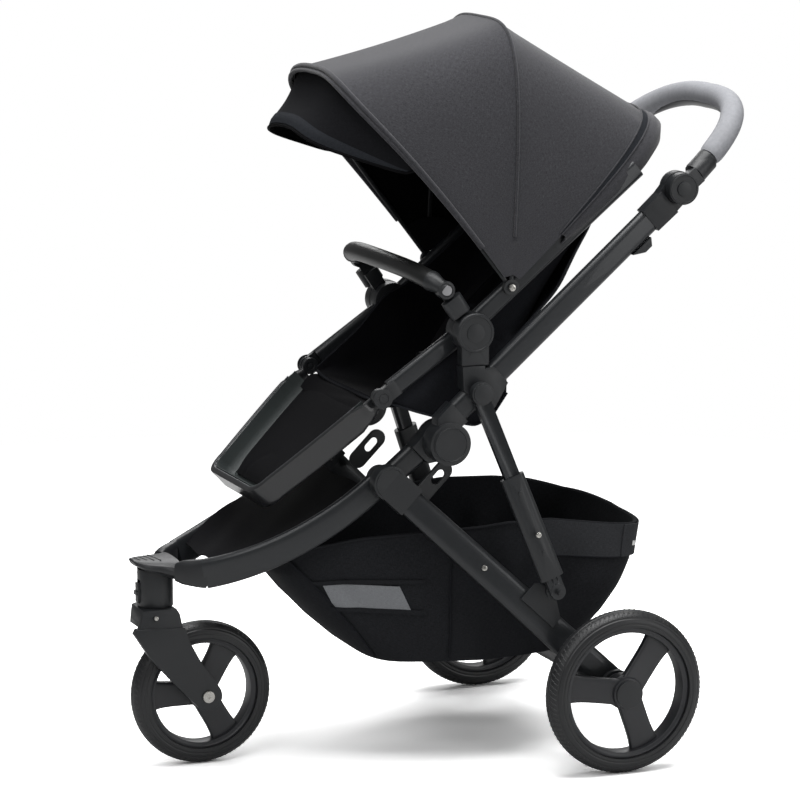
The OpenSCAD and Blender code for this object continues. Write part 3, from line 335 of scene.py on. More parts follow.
def makeFinish(name, s):
    look = finishLook
    material = bpy.data.materials.new(name)
    tree = emptyTree(material)
    coords = addNode(tree, "ShaderNodeTexCoord").outputs[s.get("coords", "Object")]
    pattern = addNode(tree, "ShaderNodeGroup", node_tree=weaveGroup if "threads" in s else grainGroup)
    tree.links.new(coords, pattern.inputs["Vector"])
    if "threads" in s:
        pattern.inputs["Threads"].default_value = s["threads"]
    else:
        pattern.inputs["Scale"].default_value = s["grains"]
        pattern.inputs["Cells"].default_value = s.get("cells", 0.0)

    def blend(factor, a, b, amount=1.0):
        share = times(tree, factor, amount, True)
        return addNode(tree, "ShaderNodeMix", {"Factor": share, 6: a, 7: b}, data_type="RGBA").outputs[2]

    base = linear(s["colour"])
    colour = blend(pattern.outputs["Tone"], base, linear(s["second"]))
    shade = tuple(c * look["shade"] for c in base[:3]) + (1.0,)
    colour = blend(pattern.outputs["Cloudy"], colour, shade, look["cloudy"])
    if s.get("wear"):
        wear = addNode(tree, "ShaderNodeGroup", node_tree=wearGroup)
        wear.inputs["Spread"].default_value = s["wear"]
        tree.links.new(coords, wear.inputs["Vector"])
        bright = tuple(min(1.0, c * look["brighten"] + look["brightLeast"]) for c in base[:3]) + (1.0,)
        colour = blend(wear.outputs["Edge"], colour, bright)
        colour = blend(wear.outputs["Dust"], colour, look["dust"], s["dust"])
    rough = plus(tree, times(tree, minus(tree, pattern.outputs["Tone"], 0.5), s["play"]), s["rough"], True)
    bump = addNode(tree, "ShaderNodeBump", {"Strength": look["bump"], "Distance": s["depth"],
                                            "Height": pattern.outputs["Height"]})
    specular = look["glossySpecular"] if s["rough"] < look["matteFrom"] else look["matteSpecular"]
    shader = addNode(tree, "ShaderNodeBsdfPrincipled", {
        "Base Color": colour, "Roughness": rough, "Metallic": s.get("metal", 0.0),
        "Coat Weight": s.get("coat", 0.0), "Sheen Weight": s.get("sheen", 0.0),
        "Sheen Roughness": look["sheenRough"], "Specular IOR Level": specular, "Normal": bump.outputs[0]})
    addNode(tree, "ShaderNodeOutputMaterial", {"Surface": shader.outputs[0]})
    return material


paint = {name: makeFinish(name, s) for name, s in finishes.items()}
print("finishes:", len(paint))


# mesh helpers; all in millimetres until the mesh is made
outX, outY = np.array([1.0, 0, 0]), np.array([0, 1.0, 0])
mirrorX = np.array([-1, 1, 1])


def unit(v):
    return np.asarray(v, float) / np.linalg.norm(v)


def at(x, yz):
    return np.array([x, yz[0], yz[1]], float)


def polar(r, a):
    return np.array([r * math.cos(math.radians(a)), r * math.sin(math.radians(a))])


def mixed(a, b, t):
    return a + (b - a) * t


def arch(t):
    return math.sin(math.pi * t)


def hump(value, centre, spread):
    return math.exp(-((value - centre) / spread) ** 2)


def bezier(a, b, c, d, t):
    return a * (1 - t) ** 3 + 3 * b * t * (1 - t) ** 2 + 3 * c * t * t * (1 - t) + d * t ** 3


def table(pairs, value):
    return np.interp(value, [a for a, _ in pairs], [b for _, b in pairs])


def distances(path):
    return np.concatenate([[0], np.cumsum(np.linalg.norm(np.diff(path, axis=0), axis=1))])


def inwardFaces(points, faces):
    tris = np.array([(f[0], f[k], f[k + 1]) for f in faces for k in range(1, len(f) - 1)])
    a, b, c = (points[tris[:, k]] - points.mean(axis=0) for k in range(3))
    return float((a * np.cross(b, c)).sum()) < 0


def meshOf(name, points, faces, sharp):
    points = np.asarray(points, float)
    data = bpy.data.meshes.new(name)
    if inwardFaces(points, faces):
        faces = [f[::-1] for f in faces]
    data.from_pydata([tuple(p) for p in points / 1000], [], faces)
    data.polygons.foreach_set("use_smooth", [True] * len(data.polygons))
    data.set_sharp_from_angle(angle=math.radians(sharp))
    return data


def assign(obj, body):
    if body:
        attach(obj, body)
    return obj


# part is (points, faces, uv), as the helpers below return it; picks is the material of each face
def piece(name, part, finish, body, sharp=42, picks=None):
    points, faces, uv = part
    data = meshOf(name, points, faces, sharp)
    for m in (finish if isinstance(finish, list) else [finish]):
        data.materials.append(paint[m])
    if picks is not None:
        data.polygons.foreach_set("material_index", picks)
    if uv is not None:
        layer = data.uv_layers.new(name="UVMap")
        loops = np.zeros(len(data.loops), int)
        data.loops.foreach_get("vertex_index", loops)
        layer.data.foreach_set("uv", (np.asarray(uv, float)[loops] / 1000).ravel())
    data.update()
    return assign(addObject(name, data), body)


# quads over an (n, m) grid of points; closedAcross joins the last column to the first
def gridFaces(n, m, closedAcross=False, closedAlong=False):
    faces = []
    for i in range(n if closedAlong else n - 1):
        for j in range(m if closedAcross else m - 1):
            a, b = i * m + j, i * m + (j + 1) % m
            c, d = ((i + 1) % n) * m + (j + 1) % m, ((i + 1) % n) * m + j
            faces.append((a, b, c, d))
    return faces


def gridUv(grid):
    along = np.concatenate([[0], np.cumsum(np.linalg.norm(np.diff(grid, axis=0), axis=2).mean(axis=1))])
    across = np.concatenate([[0], np.cumsum(np.linalg.norm(np.diff(grid, axis=1), axis=2).mean(axis=0))])
    return np.array([[a, b] for a in along for b in across])


def ringUv(rings):
    n, m = rings.shape[:2]
    return gridUv(np.concatenate([rings, rings[:, :1]], axis=1)).reshape(n, m + 1, 2)[:, :m].reshape(-1, 2)


# closed sheet of even thickness over a grid; its lining takes the last material
def sheetPiece(name, grid, thick, finish, body, flip=False):
    g = np.asarray(grid, float)
    n, m = g.shape[:2]
    normal = np.cross(np.gradient(g, axis=0), np.gradient(g, axis=1))
    normal /= np.maximum(np.linalg.norm(normal, axis=2, keepdims=True), 1e-9)
    if flip:
        normal = -normal
    outer, inner = g.reshape(-1, 3), (g - normal * thick).reshape(-1, 3)
    k = n * m
    top = gridFaces(n, m)
    if not flip:
        top = [f[::-1] for f in top]
    under = [tuple(i + k for i in f[::-1]) for f in top]
    ring = ([j for j in range(m)] + [i * m + m - 1 for i in range(1, n)]
            + [(n - 1) * m + j for j in range(m - 2, -1, -1)] + [i * m for i in range(n - 2, 0, -1)])
    hem = []
    for a, b in zip(ring, ring[1:] + ring[:1]):
        hem.append((b, a, a + k, b + k) if flip else (a, b, b + k, a + k))
    uv = gridUv(g)
    lining = len(finish) - 1 if isinstance(finish, list) else 0
    picks = [0] * len(top) + [lining] * len(under) + [0] * len(hem)
    part = np.vstack([outer, inner]), top + under + hem, np.vstack([uv, uv])
    return piece(name, part, finish, body, 60, picks)


def roundSection(w, h, power=1.0, sides=24):
    a = np.linspace(0, 2 * math.pi, sides, endpoint=False)
    c, s = np.cos(a), np.sin(a)
    return np.stack([np.sign(c) * np.abs(c) ** power * w / 2, np.sign(s) * np.abs(s) ** power * h / 2], 1)


# rings of a section carried along a path; section is one (k, 2) array or a list of them
def sweepRings(path, section, ref):
    path = np.asarray(path, float)
    tangents = np.gradient(path, axis=0)
    rings = []
    for i, p in enumerate(path):
        t = unit(tangents[i])
        r = np.asarray(ref[i] if isinstance(ref, list) else ref, float)
        s = unit(r - np.dot(r, t) * t)
        u = np.cross(t, s)
        k = section[i] if isinstance(section, list) else section
        rings.append(p + k[:, :1] * s + k[:, 1:] * u)
    return np.array(rings)


def tubeParts(rings, closed=False):
    n, m = rings.shape[:2]
    faces = [f[::-1] for f in gridFaces(n, m, True, closed)]
    if not closed:
        faces += [tuple(range(m)), tuple(range(n * m - 1, n * m - m - 1, -1))]
    return rings.reshape(-1, 3), faces, ringUv(rings)


def swept(path, section, ref):
    return tubeParts(sweepRings(path, section, ref))


def tube(path, radius, ref=(1, 0, 0), sides=8, closed=False):
    return tubeParts(sweepRings(path, roundSection(2 * radius, 2 * radius, 1, sides), ref), closed)


def joined(parts):
    points, faces, uv, offset = [], [], [], 0
    for p, f, q in parts:
        points.append(p)
        uv.append(q)
        faces += [tuple(i + offset for i in face) for face in f]
        offset += len(p)
    return np.vstack(points), faces, np.vstack(uv)


def flipped(part):
    points, faces, uv = part
    return points * mirrorX, [f[::-1] for f in faces], uv


# solid of revolution about X through (y, z); profile is a closed list of (x, r)
def lathe(profile, centre, segments=96):
    a = np.linspace(0, 2 * math.pi, segments, endpoint=False)
    rings = np.array([[[x, centre[0] + r * math.cos(t), centre[1] + r * math.sin(t)] for x, r in profile]
                      for t in a])
    arc = np.concatenate([[0], np.cumsum([math.dist(p, q) for p, q in zip(profile, profile[1:])])])
    biggest = max(r for _, r in profile)
    uv = np.array([[t * biggest, s] for t in a for s in arc])
    return rings.reshape(-1, 3), gridFaces(*rings.shape[:2], True, True), uv


def settle(obj):
    graph = bpy.context.evaluated_depsgraph_get()
    data = bpy.data.meshes.new_from_object(obj.evaluated_get(graph), depsgraph=graph)
    obj.modifiers.clear()
    obj.data = data


# carried-over nodes: edges eased, shading split by angle
def makeSmoothTree():
    tree = bpy.data.node_groups.new("shadeByAngle", "GeometryNodeTree")
    tree.interface.new_socket("Geometry", in_out="INPUT", socket_type="NodeSocketGeometry")
    tree.interface.new_socket("Angle", in_out="INPUT", socket_type="NodeSocketFloat")
    tree.interface.new_socket("Geometry", in_out="OUTPUT", socket_type="NodeSocketGeometry")
    given = tree.nodes.new("NodeGroupInput").outputs
    edge = addNode(tree, "GeometryNodeInputMeshEdgeAngle")
    test = addNode(tree, "FunctionNodeCompare", {"A": edge.outputs["Unsigned Angle"], "B": given["Angle"]},
                   data_type="FLOAT", operation="GREATER_THAN")
    faces = addNode(tree, "GeometryNodeSetShadeSmooth", {"Geometry": given["Geometry"]})
    edges = addNode(tree, "GeometryNodeSetShadeSmooth",
                    {"Geometry": faces.outputs[0], "Selection": test.outputs["Result"],
                     "Shade Smooth": False}, domain="EDGE")
    addNode(tree, "NodeGroupOutput", {"Geometry": edges.outputs[0]})
    return tree


def socketsOf(tree):
    return {i.name: i.identifier for i in tree.interface.items_tree if i.in_out == "INPUT"}


smoothTree = makeSmoothTree()
nodeFinish = {
    "darkPlastic": ["swivel_housing", "swivel_lock", "fork_arm", "leg_caps", "leg_feet", "strut_brackets",
                    "latch_plates", "brake_pedal", "strut_covers", "strut_knobs", "hub_cap_left",
                    "hub_cap_right", "fold_hubs", "fold_housings", "seat_sockets", "seat_posts",
                    "bar_housings", "handlebar_joints", "seat_hubs", "legrest_hubs", "bumper_arms",
                    "canopy_middle_bow", "canopy_front_bow", "bar_button_left", "bar_button_right",
                    "fold_trigger_left", "fold_trigger_right", "seat_button_left", "seat_button_right",
                    "nose_block", "legrest_frame"],
    "framePaint": ["rail_left", "rail_right", "upper_tubes", "front_cross_tube", "leg_left", "leg_right",
                   "rear_axle_beam", "strut_left", "strut_right", "handle_tubes", "handlebar_tube",
                   "seat_frame"],
    "rimPlastic": ["front_rim", "rear_rim_left", "rear_rim_right"],
    "tyreRubber": ["front_tyre", "rear_tyre_left", "rear_tyre_right"],
    "brightMetal": ["fork_stem", "front_axle"],
}
easing = {
    "weld": 0.00002, "bevelAngle": 34, "shadeAngle": 32, "segments": 3, "bevel": 0.9,
    "wider": {3.0: ["fork_arm"], 2.6: ["nose_block"], 2.4: ["seat_posts", "seat_sockets"],
              2.2: ["leg_caps", "fold_hubs", "bar_housings"],
              1.8: ["bumper_arms", "strut_covers", "fold_housings", "seat_hubs"],
              1.6: ["handlebar_joints", "swivel_housing"],
              1.4: ["legrest_hubs", "strut_knobs", "leg_left", "leg_right"]},
}


def finishNodes():
    widths = {n: width for width, members in easing["wider"].items() for n in members}
    angleSocket = socketsOf(smoothTree)["Angle"]
    for name, members in nodeFinish.items():
        for n in members:
            obj = nodes[n]
            obj.data.materials.clear()
            obj.data.materials.append(paint[name])
            weld = obj.modifiers.new("weld", "WELD")
            weld.merge_threshold = easing["weld"]
            bevel = obj.modifiers.new("ease", "BEVEL")
            bevel.width, bevel.segments = widths.get(n, easing["bevel"]) / 1000, easing["segments"]
            bevel.limit_method, bevel.angle_limit = "ANGLE", math.radians(easing["bevelAngle"])
            shade = obj.modifiers.new("shade", "NODES")
            shade.node_group = smoothTree
            shade[angleSocket] = math.radians(easing["shadeAngle"])


finishNodes()
print("carried-over nodes finished")


# small repeated parts, set on points
def makeScatterTree():
    tree = bpy.data.node_groups.new("partsOnPoints", "GeometryNodeTree")
    for label, kind in (("Geometry", "Geometry"), ("Part", "Object"), ("Finish", "Material"),
                        ("Size", "Float"), ("Jitter", "Float"), ("Seed", "Int")):
        tree.interface.new_socket(label, in_out="INPUT", socket_type="NodeSocket" + kind)
    tree.interface.new_socket("Geometry", in_out="OUTPUT", socket_type="NodeSocketGeometry")
    given = tree.nodes.new("NodeGroupInput").outputs
    part = addNode(tree, "GeometryNodeObjectInfo", {"Object": given["Part"]})
    turn = addNode(tree, "GeometryNodeInputNamedAttribute", {"Name": "turn"}, data_type="FLOAT_VECTOR")
    low, high = minus(tree, given["Size"], given["Jitter"]), plus(tree, given["Size"], given["Jitter"])
    chance = addNode(tree, "FunctionNodeRandomValue", {2: low, 3: high, "Seed": given["Seed"]},
                     data_type="FLOAT")
    place = addNode(tree, "GeometryNodeInstanceOnPoints", {
        "Points": given["Geometry"], "Instance": part.outputs["Geometry"],
        "Rotation": turn.outputs["Attribute"], "Scale": chance.outputs[1]})
    real = addNode(tree, "GeometryNodeRealizeInstances", {0: place.outputs[0]})
    dress = addNode(tree, "GeometryNodeSetMaterial",
                    {"Geometry": real.outputs[0], "Material": given["Finish"]})
    addNode(tree, "NodeGroupOutput", {0: dress.outputs[0]})
    return tree


scatterTree = makeScatterTree()
scatterSeed = 7


# spots are (point, outward direction, direction of the part's own X)
def scatter(name, spots, part, finish, body, size=1.0, jitter=0.0):
    source = addObject(name + "Part", meshOf(name + "Part", *part, 35))
    data = bpy.data.meshes.new(name)
    data.from_pydata([tuple(np.asarray(p, float) / 1000) for p, _, _ in spots], [], [])
    turns = data.attributes.new("turn", "FLOAT_VECTOR", "POINT")
    flat = []
    for _, out, along in spots:
        z = Vector(unit(out))
        x = Vector(unit(along))
        x = (x - z * x.dot(z)).normalized()
        flat += list(Matrix((x, z.cross(x), z)).transposed().to_euler())
    turns.data.foreach_set("vector", flat)
    obj = addObject(name, data)
    modifier = obj.modifiers.new("parts", "NODES")
    modifier.node_group = scatterTree
    values = {"Part": source, "Finish": paint[finish], "Size": size, "Jitter": jitter, "Seed": scatterSeed}
    for label, value in values.items():
        modifier[socketsOf(scatterTree)[label]] = value
    obj.update_tag()
    bpy.context.view_layer.update()
    settle(obj)
    bpy.data.objects.remove(source)
    return assign(obj, body)


# solid turned about the part's own Z, from a profile of (radius, height)
def turned(profile, segments=14):
    rings = [[[r * math.cos(2 * math.pi * k / segments), r * math.sin(2 * math.pi * k / segments), h]
              for k in range(segments)] for r, h in profile]
    points = np.array(rings).reshape(-1, 3)
    faces = gridFaces(len(profile), segments, True)
    faces += [tuple(range(segments)), tuple(range(len(points) - 1, len(points) - segments - 1, -1))]
    return points, faces


# low block with eased upper edges
def block(x, y, z, ease=0.35):
    points = []
    for h, k in ((0, 0), (z - ease, 0), (z, ease)):
        points += [(sx * (x / 2 - k), sy * (y / 2 - k), h) for sx, sy in ((-1, -1), (1, -1), (1, 1), (-1, 1))]
    return np.array(points), gridFaces(3, 4, True) + [(3, 2, 1, 0), (8, 9, 10, 11)]


def bothSides(spots):
    return spots + [(p * mirrorX, out * mirrorX, along * mirrorX) for p, out, along in spots]


# canopy: radius from the pivot and angle of each bow; sag is how far the cloth between them drops
canopy = {
    "halfWidth": 172.2, "rear": (358, 43), "middle": (389, 87.3), "front": (405, 127.4), "sag": 29,
    "forward": 2.0, "forwardFrom": 88, "forwardOver": 40, "cloth": 1.6, "across": 72, "along": 20,
    "from": 0.0008, "ridge": 2.0, "ridgeSpread": 0.05, "ridgeFrom": 60, "pipingFrom": 0.012,
    "skirt": [(358, 43.0, 0), (366, 41.4, 0), (367, 39.6, 0), (356, 37.4, -3), (336, 36.0, -7)],
    "skirtFrom": 0.03, "blendReach": 0.36, "rearBlend": (46, 86), "frontBlend": (89, 126),
}
# how far outside its bow's line each piped seam lies: in radius, in half width and in angle
piping = {"seam": (1.8, 1.2, 0), "rimOuter": (1.0, 0.5, 0.1), "rimInner": (-1.5, 0, 1.1), "radius": 2.3,
          "rimRadius": 4.2, "rimInnerShare": 0.8}
# depth of the folds, waves along and across the cloth, and (place, spread) of their middle
wrinkles = {
    "rear": {"deep": 2.2, "waves": (26, 30), "side": (0.82, 0.12), "along": (0.22, 0.2)},
    "hem": {"deep": 1.2, "waves": 38, "along": (0, 0.12)},
    "front": {"deep": 1.0, "waves": (18, 12), "side": (0.86, 0.1)},
}
zipper = {"from": 43.4, "to": 45.7, "lift": 1.6, "thick": 1.2, "welt": 1.3, "weltLift": 1.4}
visor = {"angle": 14.6, "drop": 21, "from": 0.11, "inRim": 6, "back": 0.6, "narrow": 0.14, "fold": 1.6,
         "dip": 9, "dipOver": 1.15, "square": 0.4, "hem": 2.2, "band": (0.78, 0.97), "bandLift": 1.1,
         "bandThick": 0.8}
canopyYZ = canopyPivot[1:]
canopyRear, canopyMiddle, canopyFront = canopy["rear"], canopy["middle"], canopy["front"]


# squared hoop, as shares of the half width and of the radius; u runs from 0 at the left to 1 at the right
def hoop(u):
    c, s = math.cos(math.pi * u), arch(u)
    return math.copysign(math.sqrt(abs(c)), c), math.sqrt(max(s, 0))


def canopyAt(r, w, a, u):
    hx, hr = hoop(u)
    ahead = max(0, a - canopy["forwardFrom"]) / canopy["forwardOver"]
    a += canopy["forward"] * abs(math.sin(2 * math.pi * u)) * ahead
    return at(w * hx, canopyYZ + polar(r * hr, a))


def clothBetween(lower, upper, v, u, wrinkle=None):
    # a smooth curve through the two bows and the sagging line midway between them
    (r0, a0), (r1, a1) = lower, upper
    rm, am = mixed(r0, r1, 0.5) - canopy["sag"], mixed(a0, a1, 0.5)
    w = canopy["halfWidth"]
    p0, pm, p1 = (canopyAt(r, w, a, u) for r, a in ((r0, a0), (rm, am), (r1, a1)))
    p = p0 * (2 * (v - 0.5) * (v - 1)) + pm * (4 * v * (1 - v)) + p1 * (2 * v * (v - 0.5))
    lift = canopy["ridge"] * hump(v, 1 if upper is canopyMiddle else 0, canopy["ridgeSpread"])
    away = np.array([0, *(p[1:] - canopyYZ)])
    reach = np.linalg.norm(away)
    if reach > canopy["ridgeFrom"]:
        p = p + away / reach * lift
    if wrinkle:
        p = p + (away / max(reach, 1)) * wrinkle(v, u)
    return p


def rearWrinkle(v, u):
    side, rear, hem = abs(2 * u - 1), wrinkles["rear"], wrinkles["hem"]
    near = hump(side, *rear["side"]) * hump(v, *rear["along"])
    folds = (rear["deep"] * near * math.sin(rear["waves"][0] * v + rear["waves"][1] * side)
             + hem["deep"] * hump(v, *hem["along"]) * math.sin(hem["waves"] * side))
    return folds * (1 if 0.02 < u < 0.98 else 0)


def frontWrinkle(v, u):
    side, front = abs(2 * u - 1), wrinkles["front"]
    waves = math.sin(front["waves"][0] * v + front["waves"][1] * side)
    return front["deep"] * hump(side, *front["side"]) * waves * arch(v)


def canopyGrid(lower, upper, wrinkle):
    us = np.linspace(canopy["from"], 1 - canopy["from"], canopy["across"] + 1)
    return np.array([[clothBetween(lower, upper, v, u, wrinkle) for u in us]
                     for v in np.linspace(0, 1, canopy["along"] + 1)])


def pipedSeam(bow, offset, radius, sides):
    r, a = bow[0] + offset[0], bow[1] + offset[2]
    w = canopy["halfWidth"] + offset[1]
    path = [canopyAt(r, w, a, u) for u in np.linspace(canopy["pipingFrom"], 1 - canopy["pipingFrom"], 96)]
    return tube(path, radius, (0, -math.sin(math.radians(a)), math.cos(math.radians(a))), sides)


def canopySheet(name, grid, finish, body, thick=canopy["cloth"]):
    return sheetPiece(name, grid, thick, finish, body, True)


def makeCanopyStrip(name, node, grid):
    obj = canopySheet(name, grid, ["canopyCloth", "canopyLining"], None)
    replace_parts(obj, node)
    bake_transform(obj)


def makeSkirt(us):
    # wraps round the top of the backrest
    w = canopy["halfWidth"]
    grid = np.array([[canopyAt(r, w + dw, a, u) for u in us] for r, a, dw in canopy["skirt"]])
    skirt = canopySheet("canopySkirt", grid[::-1], ["canopyCloth", "canopyLining"], "seat")


def makeZip(us):
    shares = [(mixed(zipper["from"], zipper["to"], t) - canopyRear[1]) / (canopyMiddle[1] - canopyRear[1])
              for t in (0, 0.5, 1)]
    grid = np.array([[clothBetween(canopyRear, canopyMiddle, v, u) for u in us] for v in shares])
    outward = grid - np.array([0, *canopyYZ])
    outward[..., 0] *= 0.4
    outward /= np.linalg.norm(outward, axis=2, keepdims=True)
    tape = canopySheet("canopyZipTape", grid + outward * zipper["lift"], ["zipTape"], "seat", zipper["thick"])
    welts = [tube(grid[row] + outward[row] * zipper["weltLift"], zipper["welt"], (0, -0.7, 0.7))
             for row in (0, 2)]
    piece("canopyZipWelts", joined(welts), "canopyCloth", "seat")


def makeSeams():
    # piped seam over the middle bow, and the thick rim at the front
    seam = pipedSeam(canopyMiddle, piping["seam"], piping["radius"], 10)
    piece("canopySeam", seam, "canopyCloth", "canopy_middle")
    outer = pipedSeam(canopyFront, piping["rimOuter"], piping["rimRadius"], 12)
    inner = pipedSeam(canopyFront, piping["rimInner"], piping["rimRadius"] * piping["rimInnerShare"], 12)
    piece("canopyRim", joined([outer, inner]), "canopyCloth", "canopy_front")


def visorAt(f, u):
    # starts inside the rim, dips, and runs out to a taut straight hem
    r, a = canopyFront
    s = arch((u - visor["from"]) / (1 - 2 * visor["from"])) ** visor["square"] if f else 0.0
    k = f * max(s, 0.0)
    fold = visor["fold"] * math.sin(7 * math.pi * u + 2 * f) * f * (1 - f) * 4
    dip = visor["dip"] * arch(min(1, f * visor["dipOver"])) * s if f else 0
    w = canopy["halfWidth"] * (1 - visor["narrow"] * k)
    return canopyAt(r - visor["inRim"] - k * visor["drop"] + fold - dip, w,
                    a - visor["back"] + k * visor["angle"], u)


def makeVisor():
    us = np.linspace(visor["from"], 1 - visor["from"], 61)
    grid = np.array([[visorAt(f, u) for u in us] for f in np.linspace(0, 1, 15)])
    # the visor's face is the lining painted lighter for the light that reaches it; its back and hem take the
    # lining painted dark for shade
    obj = canopySheet("canopyVisorCloth", grid, ["liningPaintedLit", "canopyLining"], "canopy_front")
    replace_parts(obj, "canopy_visor")
    hem = tube([visorAt(1.0, u) for u in us], visor["hem"], (0, 0.3, 1), 10)
    piece("visorHem", hem, "canopyLining", "canopy_front")
    band = [[visorAt(f, u) + at(0, unit(visorAt(f, u)[1:] - canopyYZ) * visor["bandLift"]) for u in us]
            for f in np.linspace(*visor["band"], 5)]
    canopySheet("visorBand", band, ["zipTape"], "canopy_front", visor["bandThick"])


makeCanopyStrip("canopyRearCloth", "canopy_rear_panel", canopyGrid(canopyRear, canopyMiddle, rearWrinkle))
makeCanopyStrip("canopyFrontCloth", "canopy_middle_panel",
                canopyGrid(canopyMiddle, canopyFront, frontWrinkle))
skirtTurns = np.linspace(canopy["skirtFrom"], 1 - canopy["skirtFrom"], canopy["across"] + 1)
makeSkirt(skirtTurns)
makeZip(skirtTurns)
makeSeams()
makeVisor()
print("canopy made")


# seat: back and legrest are the angles of those two lines of the frame
seat = {"half": 145.4, "low": 541, "power": 0.42, "along": 44, "across": 40, "inset": 0.5, "wall": 4.0,
        "wrinkle": 2.0, "back": 39.8, "legrest": 34.5}


def onBack(s, up):
    return seatHub[1:] + polar(s, seat["back"]) + polar(up, seat["back"] + 90)


def underLine(d):
    # underside of the bucket, from the legrest hinge to the top of the back, grown inwards by d
    low, y = seat["low"], seatHub[1]
    return np.array([legrestHinge[1:] + [10 + d, -15 + d / 2], [legrestHinge[1] + 30 + d, low + 12 + d],
                     [y - 30, low + 1 + d], [y + 42, low + d], [y + 74, low + 12 + d], [y + 94 - d, low + 70],
                     onBack(137, d - 54), onBack(277, d - 14), onBack(336, d - 12)], float)


def frameLine():
    # the matching points along the tubes that the bucket hangs from
    return np.array([legrestHinge[1:] + [9, -4], legrestHinge[1:] + polar(45, seat["legrest"]) + [0, -6],
                     legrestHinge[1:] + polar(100, seat["legrest"]), seatHub[1:] + [-16, 10],
                     seatHub[1:] + [22, 26], onBack(84, 4), onBack(170, 3), onBack(277, 2),
                     onBack(336, 2)], float)


def relaxed(p, passes):
    for _ in range(passes):
        p[1:-1] = (p[:-2] + 2 * p[1:-1] + p[2:]) / 4
    return p


def smoothLine(points, count, passes=2):
    p = np.asarray(points, float)
    s = distances(p)
    t = np.linspace(0, s[-1], count)
    return relaxed(np.stack([np.interp(t, s, p[:, k]) for k in range(p.shape[1])], 1), passes)


def matched(points, count):
    # resampled at the same stations as its partner line, so that the two stay side by side
    k = np.linspace(0, len(points) - 1, count)
    return relaxed(np.stack([np.interp(k, np.arange(len(points)), points[:, c]) for c in range(2)], 1), 4)


def bucketPoint(low, high, t, q):
    # q runs across the seat from -1 to 1, t from the legrest to the top of the back
    f = q * math.pi / 2
    depth = abs(math.cos(f)) ** seat["power"]
    side = abs(q) ** 3
    waves = math.sin(17 * t + 5 * q) * 0.7 + math.sin(41 * t - 9 * abs(q)) * 0.5
    fold = seat["wrinkle"] * waves * arch(min(1, depth))
    x = seat["half"] * math.copysign(abs(math.sin(f)) ** seat["power"], q)
    if abs(q) > 0.2:
        x -= math.copysign(abs(fold) * 0.8 + 1.5 * side * arch(depth), q)
    sink = fold * 0.5 * (1 - side) - seat["wrinkle"] * 0.3
    return at(x, high + (low - high) * depth + unit(low - high) * sink)


def makeSeat():
    count = seat["along"] + 1
    lows, highs = matched(underLine(seat["inset"]), count), matched(frameLine(), count)
    grid = [[bucketPoint(low, high, i / seat["along"], q) for q in np.linspace(-1, 1, seat["across"] + 1)]
            for i, (low, high) in enumerate(zip(lows, highs))]
    shell = sheetPiece("seatShell", grid, seat["wall"], ["seatShell", "seatCloth"], "seat")
    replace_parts(shell, "seat_bucket")


makeSeat()
print("seat made")


# legrest
legrest = {
    "x": 150, "front": 104, "corner": 26, "length": 240, "tip": 13, "angle": 40.7, "sink": 3,
    "narrowFrom": 22,
    "roots": [(146.5, 12.0), (146.8, 16.0)], "deep": [24, 25, 28, 33, 40], "wide": [7.6, 7.8, 12.0],
    "tray": [(5.0, 16.5), (5.6, 8.0), (6.6, 0.0), (9.0, -9.0), (15.0, -14.5)], "trayThick": 1.6,
}
# deep band with a narrow lip above and a rolled underside, as shares of its width and depth
bandOutline = [(-0.5, 0.42), (-0.2, 0.46), (0.12, 0.46), (0.34, 0.40), (0.47, 0.26), (0.5, 0.05),
               (0.47, -0.2), (0.36, -0.40), (0.14, -0.52), (-0.1, -0.54), (-0.3, -0.48), (-0.42, -0.34),
               (-0.44, 0.0), (-0.5, 0.3)]
cushion = {"near": 22.0, "far": 206.0, "corner": 40, "inset": 13, "narrow": 0.16, "up": -11.0, "crown": 7.0,
           "thick": 8.0, "seamAt": 198, "seamRadius": 46, "seamDeep": 1.3, "seamWide": 0.05, "seamTo": 200}
legTurn = math.radians(legrest["angle"])
legDown = np.array([0, -math.cos(legTurn), -math.sin(legTurn)])
legUp = np.array([0, -math.sin(legTurn), math.cos(legTurn)])
legStraight = legrest["length"] - legrest["corner"] - legrest["tip"]


def legrestEdge(s):
    start = legrest["narrowFrom"]
    return mixed(legrest["x"], legrest["front"], (max(0, s - start) / (legStraight - start)) ** 1.2)


def onLegrest(x, s, up=0.0):
    return legrestHinge * [0, 1, 1] + [x, 0, 0] + legDown * s + legUp * (up - legrest["sink"])


def legrestPath(inset=0.0):
    c = legrest["corner"] - inset * 0.7
    half = [(x - inset, s) for x, s in legrest["roots"]]
    half += [(legrestEdge(s) - inset, s) for s in np.linspace(24, legStraight, 14)]
    x = half[-1][0]
    front = legStraight + legrest["corner"] - inset
    half += [(x - c * (1 - math.cos(a)), mixed(legStraight, front, math.sin(a)))
             for a in np.linspace(0.15, math.pi / 2, 9)]
    half += [(xx, front) for xx in np.linspace(x - c, 0, 6)[1:]]
    return [onLegrest(px, s) for px, s in half + [(-px, s) for px, s in half[-2::-1]]]


def makeLegrest():
    path = legrestPath()
    sections = []
    for i in range(len(path)):
        root = min(i, len(path) - 1 - i)
        w, h = legrest["wide"][min(root, 2)], legrest["deep"][min(root, 4)]
        sections.append(np.array([(-a * w, b * h) for a, b in bandOutline]))
    across = [np.cross(legUp, unit(t)) for t in np.gradient(np.array(path), axis=0)]
    band = piece("legrestBand", swept(path, sections, across), "glossPlastic", "legrest")
    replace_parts(band, "legrest_frame")
    # tray wall inside the band
    wall = [[p + legUp * up for p in legrestPath(inset)[2:-2]] for inset, up in legrest["tray"]]
    sheetPiece("legrestTray", wall, legrest["trayThick"], ["legrestTray"], "legrest", True)


